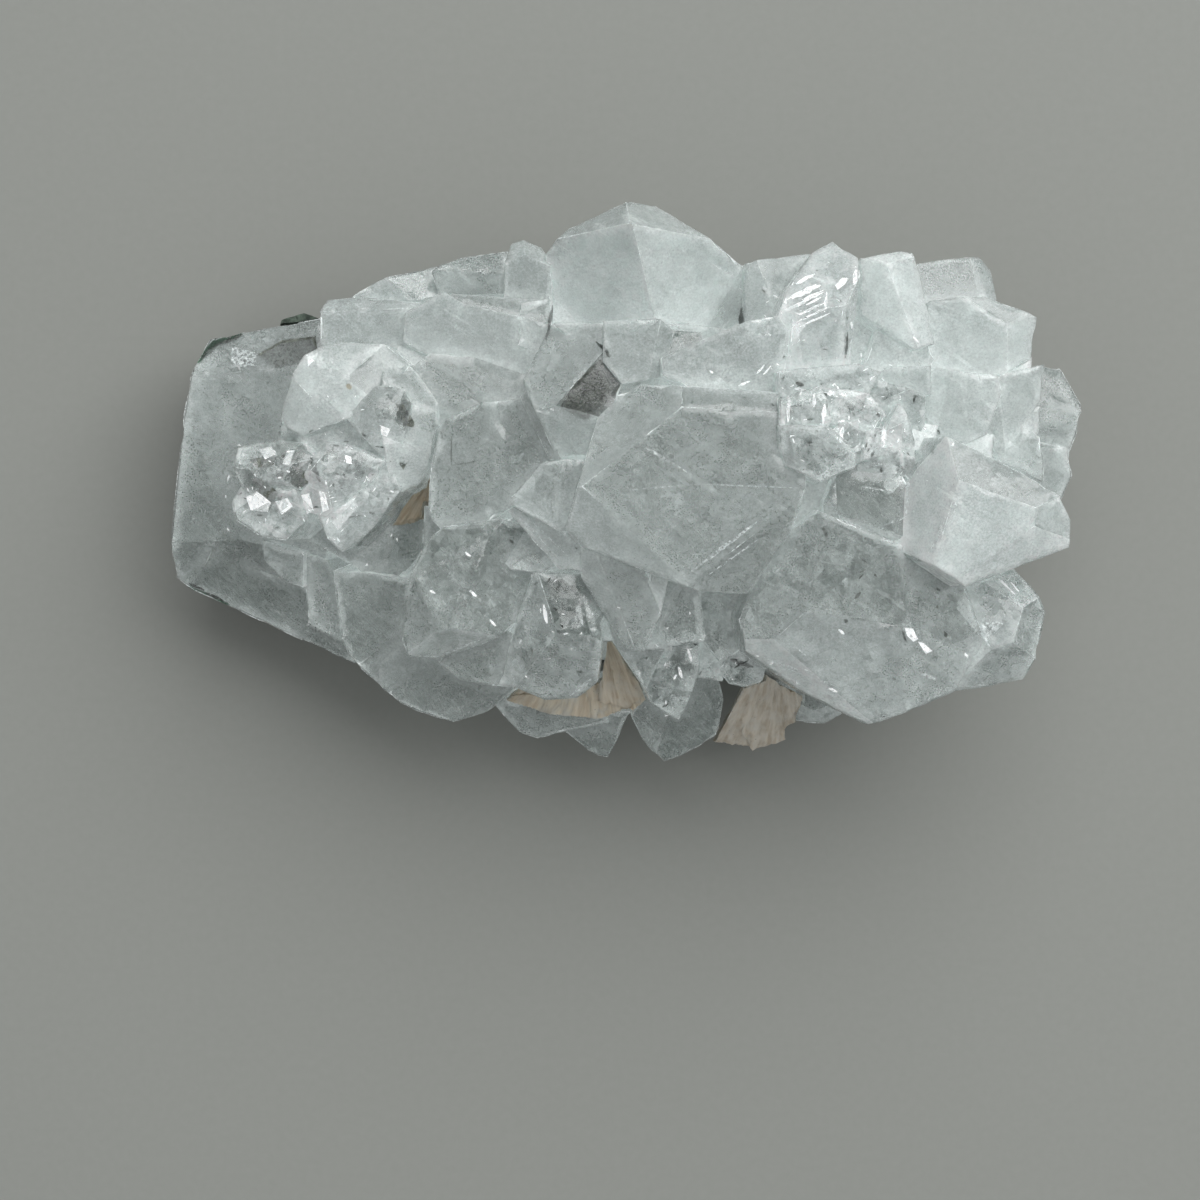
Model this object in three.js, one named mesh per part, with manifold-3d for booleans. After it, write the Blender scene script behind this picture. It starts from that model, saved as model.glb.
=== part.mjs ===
// An apophyllite cluster: a crust of intergrown apophyllite crystals on a thin piece of dark
// green rock, with small brown fans of stilbite in the gaps. Millimetres, +Z up. The rock
// rests on Z = 0, and the origin is under the middle of the cluster.

import * as THREE from "three";
import { ConvexGeometry } from "three/addons/geometries/ConvexGeometry.js";
import { mergeVertices } from "three/addons/utils/BufferGeometryUtils.js";
import Module from "manifold-3d";

const wasm = await Module();
wasm.setup();
const { Manifold, Mesh: SolidMesh } = wasm;

const GAP = 0.3;            // room between two pieces of different minerals
const BLOCK = 120;          // edge of the block that a crystal is cut from
const CRUST_FLOOR = 12;     // height at which a crystal ends in the crust, unless it says otherwise
const FAN = 0.0125;         // how quickly the crystals' lean grows with distance from the middle
const ROOT_DEPTH = 22;      // depth below the resting plane that the crystals lean away from
const POINT_SLOPE = 60.4;   // slope of apophyllite's pointed faces from its flat base, in degrees
const POINT_CAP = 0.06;     // how much of a point its flat end takes off, as a part of the width
const EDGE_FLOOR = 4;       // height below which the crystals round the edge don't reach
const SLIVER = 0.02;        // edges shorter than this are closed up after the joining

const radians = THREE.MathUtils.degToRad;

// The apophyllite crystals, seen from above. "at" is a point on the crystal's top. Each face is
// the way it faces (degrees from +X towards +Y), its slope (0 level, 90 upright) and its distance
// from "at". The outline gives the corners of the crystal's sides at the height "rim".
const crystals = {
  // The broad heart-shaped crystal in the middle, and the steps and windows round it.
  heart: {
    at: [6.5, -1.5, 39.5],
    faces: [[300, 3, 0], [129, 47, 5.6], [232, 31, 3.7], [307, 33, 3.9], [85, 40, 5.8]],
    rim: 37.4,
    outline: [[-6.6, -5.6], [-5, -7.4], [7.6, -12.2], [12.7, -12.4], [17.2, -5.9], [18.8, -1.2],
      [16.2, 8.8], [1.4, 9.9], [-2.7, 8]],
  },
  heart_side: {
    at: [-8.4, -1.4, 36],
    faces: [[225, 9, 0], [330, 12, 0.1]],
    rim: 35.6,
    outline: [[-12.6, -2.4], [-12.4, -3.1], [-7.1, -5.8], [-2.9, -5.6], [-4, 1.8], [-6.9, 1.9],
      [-9.1, 1.5]],
  },
  heart_step: {
    at: [-8.7, -5.6, 33.6],
    faces: [[235, 12, 0]],
    rim: 33.6,
    outline: [[-12.7, -3.6], [-7.4, -9.8], [-4, -10.1], [-2.5, -8.8], [-5.5, -2.4], [-11.9, -3]],
  },
  window: {
    at: [-4.8, 9.5, 34.5],
    faces: [[60, 4, 0], [133, 35, 0.5], [257, 35, 1.6]],
    rim: 32.5,
    outline: [[-11.1, 10.8], [-10.8, 9.2], [-7.6, 2.2], [-4, 2.5], [-0.5, 9.7], [-2.7, 16.6],
      [-8.1, 17]],
  },
  north_step: {
    at: [0.8, 13.4, 35.5],
    faces: [[250, 10, 0], [330, 30, 1]],
    rim: 35.3,
    outline: [[-2.6, 12.2], [-0.6, 9.7], [3.8, 10.6], [5, 15.5], [3.4, 16.7], [-2.6, 16.5]],
  },
  wedge: {
    at: [9.7, 11.6, 38],
    faces: [[215, 9, 0], [300, 26, 0.4], [150, 24, 1.1]],
    rim: 37.4,
    outline: [[3.5, 10.6], [9.9, 8.2], [16.4, 8], [17, 15.2], [15.6, 16.7], [12.2, 16.1], [3.5, 12.6]],
  },

  // The tall pointed crystal on the north edge, with what grows at its foot.
  north: {
    at: [0.5, 26.4, 38],
    faces: [[325, 40, 0], [326, 48, 2.2], [226, 51, 0], [60, 60, 0], [132, 58, 0.2]],
    rim: 31.3,
    outline: [[-8.8, 24.8], [-8, 16.7], [8.3, 15.2], [12.6, 19.5], [12.9, 23.2], [3.5, 29], [0.3, 29],
      [-6.3, 27]],
  },
  north_low: {
    at: [10.7, 17.7, 26],
    faces: [[310, 40, 0]],
    rim: 26.2,
    outline: [[6.8, 15.7], [8.6, 14.9], [13.1, 17.3], [12.9, 20.4], [11.6, 20.9]],
  },
  north_wedge: {
    at: [1.4, 15.9, 31.4],
    faces: [[265, 12, 0]],
    rim: 31.4,
    outline: [[-8, 16.6], [-5, 14.3], [7.8, 13.8], [12.1, 15.8], [6.1, 16.6], [-2.9, 16.7]],
  },
  between: {
    at: [14.8, 20.1, 29.5],
    faces: [[200, 16, 0], [20, 30, 0.3]],
    rim: 28.1,
    outline: [[12.6, 23.2], [12.7, 16.1], [18, 16], [20.7, 25.1]],
  },
  knob: {
    at: [-11.2, 23.5, 28], floor: 10,
    faces: [[270, 14, 0], [120, 45, 0.6], [60, 50, 0.8]],
    rim: 26.8,
    outline: [[-13.4, 19.3], [-8.1, 19.3], [-8.1, 23.5], [-9.3, 25.4], [-11.2, 26.2], [-12.6, 25.9],
      [-13.2, 24.2]],
  },

  // Rough pale plates along the north-west edge.
  plate_west: {
    at: [-28, 17, 24.5], floor: 9,
    faces: [[225, 8, 0], [100, 35, 1.1]],
    rim: 24.1,
    outline: [[-33.6, 14.9], [-21.2, 14.1], [-21.2, 19.2], [-28.8, 20.4], [-33, 20.1], [-33.6, 18.7]],
  },
  plate_rough: {
    at: [-15.9, 15.6, 28],
    faces: [[250, 16, 0], [200, 22, 0.8], [80, 35, 2.3]],
    rim: 26.9,
    outline: [[-24.6, 15.2], [-22.5, 14], [-19, 12.4], [-15.9, 11.7], [-11.1, 11.2], [-8.4, 13.7],
      [-8.1, 19.5], [-20.1, 20.2], [-24.3, 18.4]],
  },
  plate_face: {
    at: [-10.7, 17, 28.4],
    faces: [[355, 26, 0]],
    rim: 28,
    outline: [[-11.8, 14.4], [-9.9, 13.8], [-8, 16.3], [-8.6, 19.7], [-11.4, 19]],
  },
  lens: {
    at: [-25.8, 21.4, 21.5], floor: 9,
    faces: [[215, 16, 0], [60, 28, 0.4]],
    rim: 20.7,
    outline: [[-30.7, 20.6], [-26.5, 19.5], [-23, 19.6], [-20, 20.7], [-20.5, 24.6], [-28.4, 21.6]],
  },
  north_west_low: {
    at: [-17.2, 22.7, 22.5], floor: 9,
    faces: [[250, 18, 0], [95, 30, 0.3]],
    rim: 21.8,
    outline: [[-21.5, 23], [-20.6, 20.4], [-12.5, 20.5], [-13.1, 25.5], [-18.3, 24.8], [-20.5, 23.9]],
  },

  // Smooth grey faces west of the heart.
  grey_face: {
    at: [-15.8, 1.5, 29],
    faces: [[210, 7, 0]],
    rim: 28.9,
    outline: [[-21.6, -3.8], [-20.2, -5.3], [-15.9, -4.7], [-12.6, -3.3], [-6.6, 1], [-10.3, 8.7],
      [-15.8, 8.3], [-19.6, 6.6], [-20.4, 5.5], [-21.3, 1]],
  },
  grey_rise: {
    at: [-11, 5.3, 30],
    faces: [[225, 17, 0]],
    rim: 30,
    outline: [[-14, 8.3], [-13.7, 5.8], [-9.4, 1], [-6.9, 1.8], [-10.4, 8.8]],
  },
  grey_north: {
    at: [-17, 10, 27.2],
    faces: [[75, 5, 0.4], [240, 28, 2.1]],
    rim: 27.4,
    outline: [[-23.2, 12.3], [-20.3, 5.9], [-8.8, 6.5], [-10.5, 12.8], [-21.3, 13.8]],
  },
  grey_strip: {
    at: [-9.8, 5.7, 31],
    faces: [[205, 34, 0]],
    rim: 31.2,
    outline: [[-11.6, 8.8], [-8.4, 2], [-6.8, 1.7], [-10.6, 9.7]],
  },

  // The perched group at the west end: a frosted lump, a violet-tinged dome and glittering crystals.
  frosted: {
    at: [-32.3, 9.7, 31], floor: 15,
    faces: [[120, 14, 0], [300, 12, 0.3], [200, 30, 0.9], [255, 28, 0.7], [85, 32, 0.9], [30, 26, 1.3]],
    rim: 29.3,
    outline: [[-37.5, 7.3], [-37, 5.7], [-35.1, 4.6], [-29.4, 6.4], [-23.6, 12.4], [-26.3, 14.7],
      [-29.8, 14.9], [-32.9, 14.5], [-34.6, 13.3], [-37, 8.5]],
  },
  violet: {
    at: [-25.9, 7.1, 32], floor: 15,
    faces: [[20, 10, 0], [110, 30, 0.5], [195, 34, 0.7], [280, 34, 0.5], [350, 36, 0.6]],
    rim: 30.3,
    outline: [[-30.2, 6.4], [-26.7, 2.6], [-25.3, 1.5], [-23.9, 3.7], [-22.9, 8], [-23.7, 9.4],
      [-25.5, 10.2], [-26.9, 10]],
  },
  east_plates: {
    at: [-23.1, 5.3, 30], floor: 15,
    faces: [[340, 20, 0], [300, 36, 0.6], [50, 38, 1.5]],
    rim: 28.1,
    outline: [[-26.1, 14], [-25.8, 1], [-24.7, -1.4], [-22.6, -0.4], [-21.3, 1.9], [-20.3, 5.9],
      [-20.4, 8.3], [-22.9, 11.9]],
  },
  glitter_west: {
    at: [-38.1, 0.9, 30.5], floor: 14,
    faces: [[150, 6, 0], [140, 34, 0.9], [215, 38, 1], [270, 40, 0.8], [330, 24, 0.8], [80, 36, 0.8]],
    rim: 29,
    outline: [[-42.6, 1], [-41.6, -1.1], [-39.4, -2.5], [-36.2, -1.9], [-33.3, -0.1], [-33.3, 2.5],
      [-34.9, 4], [-37.9, 4.2], [-42.3, 3.5]],
  },
  glitter_southwest: {
    at: [-39.3, -3.1, 28.8], floor: 14,
    faces: [[225, 24, 0], [285, 30, 0.4], [170, 30, 0.6]],
    rim: 27.9,
    outline: [[-43, -2.2], [-42.5, -4.4], [-39.6, -6.2], [-37.3, -6.6], [-34.9, -4.6], [-34.8, -1.1],
      [-41.8, -0.7]],
  },
  glitter_middle: {
    at: [-30.8, 1, 30.2], floor: 14,
    faces: [[40, 7, 0], [130, 32, 1.3], [240, 34, 1.2], [300, 30, 0.4], [80, 34, 1]],
    rim: 28.9,
    outline: [[-35.6, -2], [-35, -3.5], [-32.8, -4.1], [-30.4, -2.7], [-27, 0.1], [-25.9, 2],
      [-29.5, 3.7], [-32.3, 4.2], [-33.5, 2.5]],
  },
  glitter_south: {
    at: [-28.8, -2.8, 28.6], floor: 14,
    faces: [[320, 10, 0], [235, 32, 1.1], [140, 22, 0.5], [290, 34, 0.3]],
    rim: 27.5,
    outline: [[-33.5, -3.5], [-32.9, -6.5], [-31.2, -7.9], [-29.6, -7.3], [-26.6, -4.3], [-24.3, -1.3],
      [-25.1, 1.9], [-27.3, 1.3]],
  },
  glitter_gap: {
    at: [-31.5, 4.3, 28], floor: 14,
    faces: [[270, 8, 0]],
    rim: 28,
    outline: [[-35.3, 4.5], [-34.9, 2.2], [-32.2, 1.1], [-26.2, 2.2], [-27.1, 5.1], [-29.8, 6.7],
      [-32.2, 6.2]],
  },

  // The broken slab of the west end, and its steps to the south.
  west_slab: {
    at: [-43.5, 3.7, 18.5], floor: 7,
    faces: [[190, 6, 0], [200, 15, 0.6], [110, 22, 3.2], [248, 32, 4.7]],
    rim: 17,
    outline: [[-52.2, -10.3], [-49.6, -11.5], [-32.2, -10.8], [-30.1, 6.8], [-33.5, 18.4],
      [-43.5, 16.8], [-46.6, 16.2], [-47.3, 14.7]],
  },
  west_corner: {
    at: [-44.9, -10.2, 16], floor: 7,
    faces: [[250, 24, 0], [200, 30, 1]],
    rim: 15.2,
    outline: [[-51.5, -10.7], [-37.1, -17.7], [-34.6, -12.8], [-38.6, -6.4], [-51.3, -7.7]],
  },
  step_a: {
    at: [-37.9, -8.8, 20], floor: 9,
    faces: [[235, 14, 0]],
    rim: 19.9,
    outline: [[-40.4, -8.6], [-38.3, -10.9], [-35.8, -11.7], [-35.3, -7.7], [-40.2, -6.3]],
  },
  step_b: {
    at: [-34.9, -11.9, 19], floor: 9,
    faces: [[235, 16, 0]],
    rim: 19.1,
    outline: [[-35.8, -16], [-32.1, -17.9], [-31.5, -12.1], [-32.8, -8.4], [-35.5, -7.7]],
  },
  step_c: {
    at: [-28.1, -15.2, 21], floor: 8,
    faces: [[225, 14, 0], [280, 28, 1.2]],
    rim: 20.3,
    outline: [[-32.2, -9.6], [-31.6, -17.5], [-30.7, -19.5], [-26.2, -24.7], [-23.7, -17.3],
      [-23.2, -10.5], [-27.8, -9.7]],
  },
  step_edge: {
    at: [-36.5, -15.2, 15.5], floor: 7,
    faces: [[240, 30, 0]],
    rim: 15.4,
    outline: [[-48.6, -11.9], [-37.1, -17.6], [-30.8, -20.3], [-29.3, -12.4], [-42.5, -8.8]],
  },
  brown_flat: {
    at: [-28.8, -8.6, 21.5],
    faces: [[260, 6, 0], [330, 20, 0.6]],
    rim: 21.2,
    outline: [[-36, -5.9], [-27.2, -11], [-24.4, -10], [-22.1, -7], [-21.6, -4.2], [-26.8, -1.4],
      [-35.7, -3.6]],
  },

  // Clear crystals of the south side.
  clear_west: {
    at: [-18.4, -11.9, 31],
    faces: [[140, 5, 0], [120, 28, 1.4], [195, 30, 1.6], [281, 53, 3.3], [340, 26, 0.6]],
    rim: 28.8,
    outline: [[-24.3, -17.3], [-23.5, -19.2], [-20.7, -19.6], [-15.9, -18], [-13.2, -16.7],
      [-11.1, -14.4], [-10, -10.3], [-10.2, -5.2], [-13.5, -4.1], [-19.9, -5.1], [-21.5, -6.5],
      [-23, -9.7], [-24, -13]],
  },
  clear_window: {
    at: [-10.4, -7.1, 29.5],
    faces: [[90, 6, 0]],
    rim: 29.5,
    outline: [[-13.2, -8.9], [-12.6, -9.8], [-9.3, -10.1], [-7.2, -9], [-8.3, -6.3], [-11.5, -3.7],
      [-13.1, -4.4]],
  },
  clear_south: {
    at: [-6.3, -13.5, 31.5], floor: 15,
    faces: [[50, 7, 0], [193, 40, 1.5], [270, 39, 2.2], [20, 30, 0.7]],
    rim: 28.4,
    outline: [[-13.6, -21.4], [-11.6, -22.9], [-8.9, -24.1], [-5.4, -23.8], [-3.2, -22], [-2.6, -18.3],
      [-2.4, -14.2], [-4.8, -9.9], [-10, -9.8], [-12.4, -16.5]],
  },
  south_step: {
    at: [-13.8, -18.4, 26.5],
    faces: [[250, 16, 0], [300, 28, 0.6]],
    rim: 25.6,
    outline: [[-20.7, -19.8], [-18.2, -22], [-9.1, -23], [-9.2, -19.5], [-12.7, -16.1], [-15.8, -16.6]],
  },
  south_west_crust: {
    at: [-21.7, -21.8, 21], floor: 8,
    faces: [[245, 22, 0], [200, 20, 0.4], [290, 28, 0.2]],
    rim: 19.9,
    outline: [[-27.6, -22.4], [-25.6, -24.4], [-19.6, -27], [-15.7, -25.8], [-12.6, -23.2],
      [-13.1, -18.2], [-25.3, -15], [-27.5, -18.5]],
  },
  heart_foot: {
    at: [-1.3, -13, 34],
    faces: [[265, 20, 0], [224, 41, 0]],
    rim: 33.4,
    outline: [[-5, -10.6], [-0.2, -18.4], [1.9, -18.6], [3.7, -14.4], [1.3, -8.5], [-5, -7.4]],
  },
  spike: {
    at: [2.9, -10, 35.2],
    faces: [[270, 14, 0], [190, 40, 0.3]],
    rim: 34.5,
    outline: [[1, -8.6], [3.6, -14.7], [4.7, -9.4]],
  },
  foot_east: {
    at: [6.2, -14.1, 32],
    faces: [[280, 16, 0], [200, 18, 0.5]],
    rim: 31.7,
    outline: [[2.8, -15.8], [4.4, -18.1], [8.5, -17.5], [7.7, -11.4], [4.3, -8.7]],
  },
  foot_south: {
    at: [-0.2, -17.3, 29],
    faces: [[255, 30, 0], [330, 34, 0.5]],
    rim: 28.2,
    outline: [[-2.6, -14.1], [-1.6, -17.5], [2, -23.1], [4.5, -18], [3, -12.9]],
  },
  sparkle_south: {
    at: [4.5, -21.2, 25],
    faces: [[330, 18, 0], [240, 32, 0.5], [285, 34, 0.8], [150, 24, 0.6]],
    rim: 23.8,
    outline: [[1.5, -21.7], [2.6, -24.5], [5.9, -26.6], [7.4, -23.1], [8.1, -20.4], [8, -16.8],
      [2, -17.4]],
  },
  dark_gap: {
    at: [10.3, -15.2, 27.5],
    faces: [[230, 22, 0]],
    rim: 27.5,
    outline: [[7.7, -11.7], [8.3, -17.7], [10.4, -20.2], [12.3, -18.5], [13, -14.2], [13.4, -11.6]],
  },
  dark_small: {
    at: [12.6, -20.4, 24],
    faces: [[240, 20, 0], [300, 30, 0.2]],
    rim: 23.5,
    outline: [[10.3, -20.9], [11.2, -22.3], [13.4, -22.8], [15.2, -22.1], [15.2, -20.4], [13.1, -18.3],
      [11, -18.8]],
  },

  // Low crystals of the south rim.
  rim_a: {
    at: [-10.2, -26.7, 15], floor: 7,
    faces: [[265, 24, 0]],
    rim: 15.2,
    outline: [[-15.1, -24], [-13.6, -26.3], [-12, -28.2], [-10.1, -28.9], [-1.8, -26.9], [-2.2, -22.6]],
  },
  rim_b: {
    at: [-2.9, -28.2, 13.5], floor: 6,
    faces: [[290, 26, 0], [200, 26, 0.3]],
    rim: 12.7,
    outline: [[-7.5, -27.7], [-3.2, -30.7], [-2, -31], [-0.9, -28.8], [0.5, -25.2], [-6.3, -24.2]],
  },
  rim_c: {
    at: [4.9, -27.3, 17.5], floor: 7,
    faces: [[285, 22, 0], [215, 24, 0.3]],
    rim: 17.5,
    outline: [[0.5, -26.2], [2.2, -29.6], [4.4, -31.5], [6.2, -30.8], [10.3, -28.5], [10.9, -24],
      [9.9, -20], [8.1, -19.2], [2.1, -23.4]],
  },
  rim_d: {
    at: [21.8, -25.2, 12], floor: 6,
    faces: [[280, 14, 0]],
    rim: 12,
    outline: [[18.4, -23], [19.4, -27], [22.7, -27.2], [24.7, -26.3], [26.3, -21.9]],
  },

  // The large south-east crystal, the bright east one and what grows between them.
  south_east: {
    at: [23.4, -13, 37],
    faces: [[250, 9, 0], [184, 27, 1.8], [242, 48, 4.1], [300, 26, 2], [350, 20, 2.3], [258, 26, 0.6]],
    rim: 34.2,
    outline: [[12, -15.2], [12.8, -18.7], [19, -23.1], [26.2, -26.7], [35.2, -23], [38, -17.3],
      [35.7, -11.3], [30.9, -8.1], [19.7, -3.3], [16.9, -5.5], [13.1, -12]],
  },
  south_east_tip: {
    at: [39.5, -15.7, 34], floor: 14,
    faces: [[130, 10, 0], [350, 36, 1.3], [285, 42, 1.7], [190, 30, 0.9], [70, 34, 1.5]],
    rim: 31.8,
    outline: [[34, -17.3], [35.7, -23], [43.1, -21.9], [44.6, -14.2], [41.9, -9.8], [34.5, -11.2]],
  },
  east: {
    at: [37.5, -3.7, 42], floor: 14,
    faces: [[285, 12, 0], [174, 48, 3.3], [57, 27, 1.1], [300, 38, 1.9], [340, 30, 2]],
    rim: 39.1,
    outline: [[27.7, -6.9], [30.5, -9], [35, -11.7], [46.5, -7.6], [46.2, -4.6], [44.6, -2.1],
      [38.4, 1.6], [32.4, 4.1], [30.1, 0.2]],
  },
  hexagon: {
    at: [25, -3, 37.5],
    faces: [[90, 3, 0], [250, 36, 1.2], [180, 34, 1.7]],
    rim: 37,
    outline: [[20.5, -3], [20.9, -4.7], [26.7, -7.4], [28.7, -6.5], [29.8, -2.2], [28.6, 0.4],
      [24.1, 1.3], [21.5, -0.2]],
  },

  // Striated and pale crystals of the north-east.
  striated: {
    at: [19.6, 17.3, 39],
    faces: [[245, 20, 0], [113, 39, 0], [349, 66, 3.1], [210, 40, 0.9], [290, 30, 1.7]],
    rim: 36,
    outline: [[15.5, 16.2], [16.3, 10.2], [23.6, 10.3], [24.1, 17.9], [24.3, 23.1], [22, 25.3],
      [19.8, 24.1], [16.7, 19.9]],
  },
  striated_foot: {
    at: [19.6, 10.2, 38.6],
    faces: [[280, 14, 0]],
    rim: 38.4,
    outline: [[15.6, 11], [15.8, 7.8], [25.4, 8.4], [26.6, 10.9], [24.2, 11.8]],
  },
  band_north: {
    at: [28.3, 19.7, 35.4],
    faces: [[250, 12, 0], [6, 30, 0.1], [80, 50, 2.3]],
    rim: 34.2,
    outline: [[24.2, 22.9], [24.7, 17.1], [30.5, 13.5], [33, 14.3], [30.6, 24.1], [29.4, 24.4]],
  },
  blue_north: {
    at: [35.3, 20.9, 29], floor: 10,
    faces: [[95, 12, 0], [30, 34, 1.2]],
    rim: 28.5,
    outline: [[31.1, 23.3], [31.3, 16.8], [35.3, 16.8], [40.1, 19.5], [39.8, 22.9], [38.5, 24.3],
      [33.8, 23.8]],
  },
  pale_wide: {
    at: [37.7, 16.4, 31.5], floor: 11,
    faces: [[230, 7, 0], [350, 28, 1.6], [60, 25, 0.9]],
    rim: 30.7,
    outline: [[30.8, 14.3], [32, 11.4], [39.7, 10.9], [43.8, 12.9], [44.4, 17.5], [38.2, 19.5],
      [32.2, 19]],
  },
  pale_left: {
    at: [28.4, 14.1, 33.5],
    faces: [[200, 12, 0], [330, 20, 0.4]],
    rim: 32.9,
    outline: [[25.1, 11.8], [26.9, 11], [31.9, 11], [33.2, 12.7], [29.2, 18.2], [27, 17.4]],
  },
  pale_low: {
    at: [29.4, 10.1, 34.5],
    faces: [[290, 22, 0], [200, 24, 0.3]],
    rim: 33.8,
    outline: [[25.5, 10.6], [26.9, 8.6], [29.5, 8], [32.4, 8.8], [32, 11.8], [27.2, 11.6]],
  },
  pale_middle: {
    at: [34.9, 7.8, 33],
    faces: [[255, 12, 0], [200, 22, 0.4], [330, 16, 0.3]],
    rim: 32.2,
    outline: [[31, 8.4], [32.4, 3.8], [35.5, 3.3], [38.5, 4.6], [40, 8.9], [39.6, 10.9], [31.3, 11.7]],
  },
  pale_right: {
    at: [40.8, 7.3, 31],
    faces: [[310, 16, 0], [230, 20, 0.3]],
    rim: 30.6,
    outline: [[38.3, 4.9], [40.4, 2.4], [42, 3.9], [44.5, 8.4], [44.4, 12.2], [39.2, 11]],
  },
  pale_corner: {
    at: [42.8, 2.6, 29.5],
    faces: [[300, 20, 0], [350, 18, 0.1]],
    rim: 29.3,
    outline: [[39.8, 2], [45.5, -0.2], [44.8, 4.7], [41.6, 5.9]],
  },
  far_east: {
    at: [47.3, 7.4, 21], floor: 8,
    faces: [[350, 12, 0], [40, 26, 0.6], [300, 20, 0.4]],
    rim: 20.3,
    outline: [[42.9, 8.9], [44.6, 2.5], [49.3, 2.8], [50.5, 8.6], [48.5, 12.8], [44.9, 12.8]],
  },
  far_east_low: {
    at: [47.1, 1.4, 20], floor: 8,
    faces: [[310, 16, 0]],
    rim: 19.9,
    outline: [[44.4, 4.6], [45.9, -0.5], [48.9, -2], [49.8, 0.8], [48.7, 4]],
  },

  // Small sparkling crystals packed between the wedge and the east crystal.
  sparkle_a: {
    at: [18.9, 6.2, 41],
    faces: [[250, 14, 0], [200, 30, 1], [120, 24, 0.8]],
    rim: 40.6,
    outline: [[15.7, 8], [15.8, 3.6], [20, 3.3], [21.2, 5.7], [20.1, 9.4]],
  },
  sparkle_b: {
    at: [19.4, 2.1, 40.8],
    faces: [[265, 16, 0], [215, 34, 0.9]],
    rim: 40.6,
    outline: [[15.6, 5.2], [15.9, 1.9], [16.5, 0.9], [20.1, -0.8], [23.9, 0.8], [23.7, 2.6],
      [20.8, 5.1]],
  },
  sparkle_c: {
    at: [23.2, 6.8, 39.6],
    faces: [[60, 10, 0], [160, 26, 0.6], [300, 24, 0.2]],
    rim: 38.9,
    outline: [[20.4, 9.3], [20.6, 5.6], [22.6, 4.8], [25.4, 4.5], [27.3, 6.3], [25.1, 8.8]],
  },
  sparkle_d: {
    at: [23, 3.5, 39],
    faces: [[280, 22, 0], [200, 20, 0.4]],
    rim: 38.6,
    outline: [[19.9, 3.8], [21, 2.5], [23.9, 1], [25.1, 1.6], [25.1, 4.3], [22.5, 5.7]],
  },
  sparkle_e: {
    at: [25.7, 3.3, 39.4],
    faces: [[330, 26, 0]],
    rim: 39.4,
    outline: [[24.5, 1.5], [26.5, 2], [26.8, 5.1], [24.8, 4.7]],
  },
  sparkle_f: {
    at: [28.5, 4.8, 38.6],
    faces: [[240, 18, 0], [330, 28, 0.2], [150, 26, 0.3]],
    rim: 37.6,
    outline: [[26.5, 2.5], [28.1, 0.8], [30.2, 0.6], [30.3, 3.8], [28.4, 7.8], [26.7, 4.9]],
  },
  sparkle_g: {
    at: [26.5, 1.2, 37.6],
    faces: [[270, 16, 0]],
    rim: 37.7,
    outline: [[23.9, 2.1], [24.2, 0.5], [30.1, -0.1], [30.3, 1.9], [27.4, 3.3]],
  },
  sparkle_h: {
    at: [28.1, 8.9, 37],
    faces: [[160, 14, 0], [270, 24, 0.2]],
    rim: 36.1,
    outline: [[24.8, 10.7], [25.1, 8.4], [27.3, 5.3], [30.6, 3.9], [31.6, 5.5], [31.2, 8.5], [29, 9.4]],
  },

  // Small crystals deep in the seams between the others.
  seam_heart: {
    at: [19.3, -2.5, 35.2],
    faces: [[270, 12, 0]],
    rim: 34.6,
    outline: [[17, -5], [20.3, -5.6], [22, -3.5], [22, 0.2], [18.4, 1], [16.6, -1]],
  },
  seam_south: {
    at: [9, -19.5, 22.8],
    faces: [[250, 15, 0]],
    rim: 22,
    outline: [[7.2, -21.5], [10.6, -22], [11, -17], [7.4, -17]],
  },
  seam_foot: {
    at: [-1.9, -16.2, 26],
    faces: [[240, 15, 0]],
    rim: 25.4,
    outline: [[-3.2, -17.4], [-0.6, -17.6], [-0.4, -14.2], [-3, -14.2]],
  },
  seam_north_east: {
    at: [24.6, 14, 31.6],
    faces: [[280, 15, 0]],
    rim: 31,
    outline: [[23, 11.6], [26, 11.8], [26.2, 16.6], [23.4, 16.8]],
  },
  seam_frosted: {
    at: [-36.5, 5.2, 25.5],
    faces: [[200, 20, 0]],
    rim: 25,
    outline: [[-38.3, 3.6], [-35, 3.4], [-34.6, 6.8], [-37.6, 7.4]],
  },
  seam_south_east: {
    at: [21.4, -22.8, 16.5],
    faces: [[290, 12, 0]],
    rim: 16,
    outline: [[19.8, -24.9], [21, -25.6], [23.4, -24.6], [23, -20.5], [19.6, -20.4]],
  },
  seam_north: {
    at: [6, 14.3, 33.2],
    faces: [[80, 20, 0]],
    rim: 32.8,
    outline: [[4.2, 12.8], [8.2, 12.6], [8, 15.6], [4.4, 16]],
  },
  seam_brown: {
    at: [-21, -5, 24.6],
    faces: [[230, 20, 0]],
    rim: 24,
    outline: [[-22.4, -6.8], [-19.6, -7], [-19.4, -3], [-22, -2.6]],
  },
  seam_pale: {
    at: [37.5, 3.4, 30.6],
    faces: [[0, 10, 0]],
    rim: 30.2,
    outline: [[35.8, 2], [39.2, 1.8], [39.4, 4.8], [36, 5]],
  },
  seam_plates: {
    at: [-23.4, 13.2, 25],
    faces: [[100, 12, 0]],
    rim: 24.6,
    outline: [[-25.4, 12], [-21.8, 11.8], [-21.4, 14.6], [-25, 14.8]],
  },
  seam_spike: {
    at: [3.5, -17.2, 29],
    faces: [[260, 15, 0]],
    rim: 28.6,
    outline: [[2, -18.4], [5, -18.6], [5, -15.6], [2.2, -15.4]],
  },
  seam_east: {
    at: [43.2, 6.4, 27.8],
    faces: [[0, 14, 0]],
    rim: 27.2,
    outline: [[42, 4.6], [44.6, 4.8], [44.8, 8], [42, 8.2]],
  },
  seam_sparkle: {
    at: [31.3, 4.2, 35.4],
    faces: [[30, 12, 0]],
    rim: 35,
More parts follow.
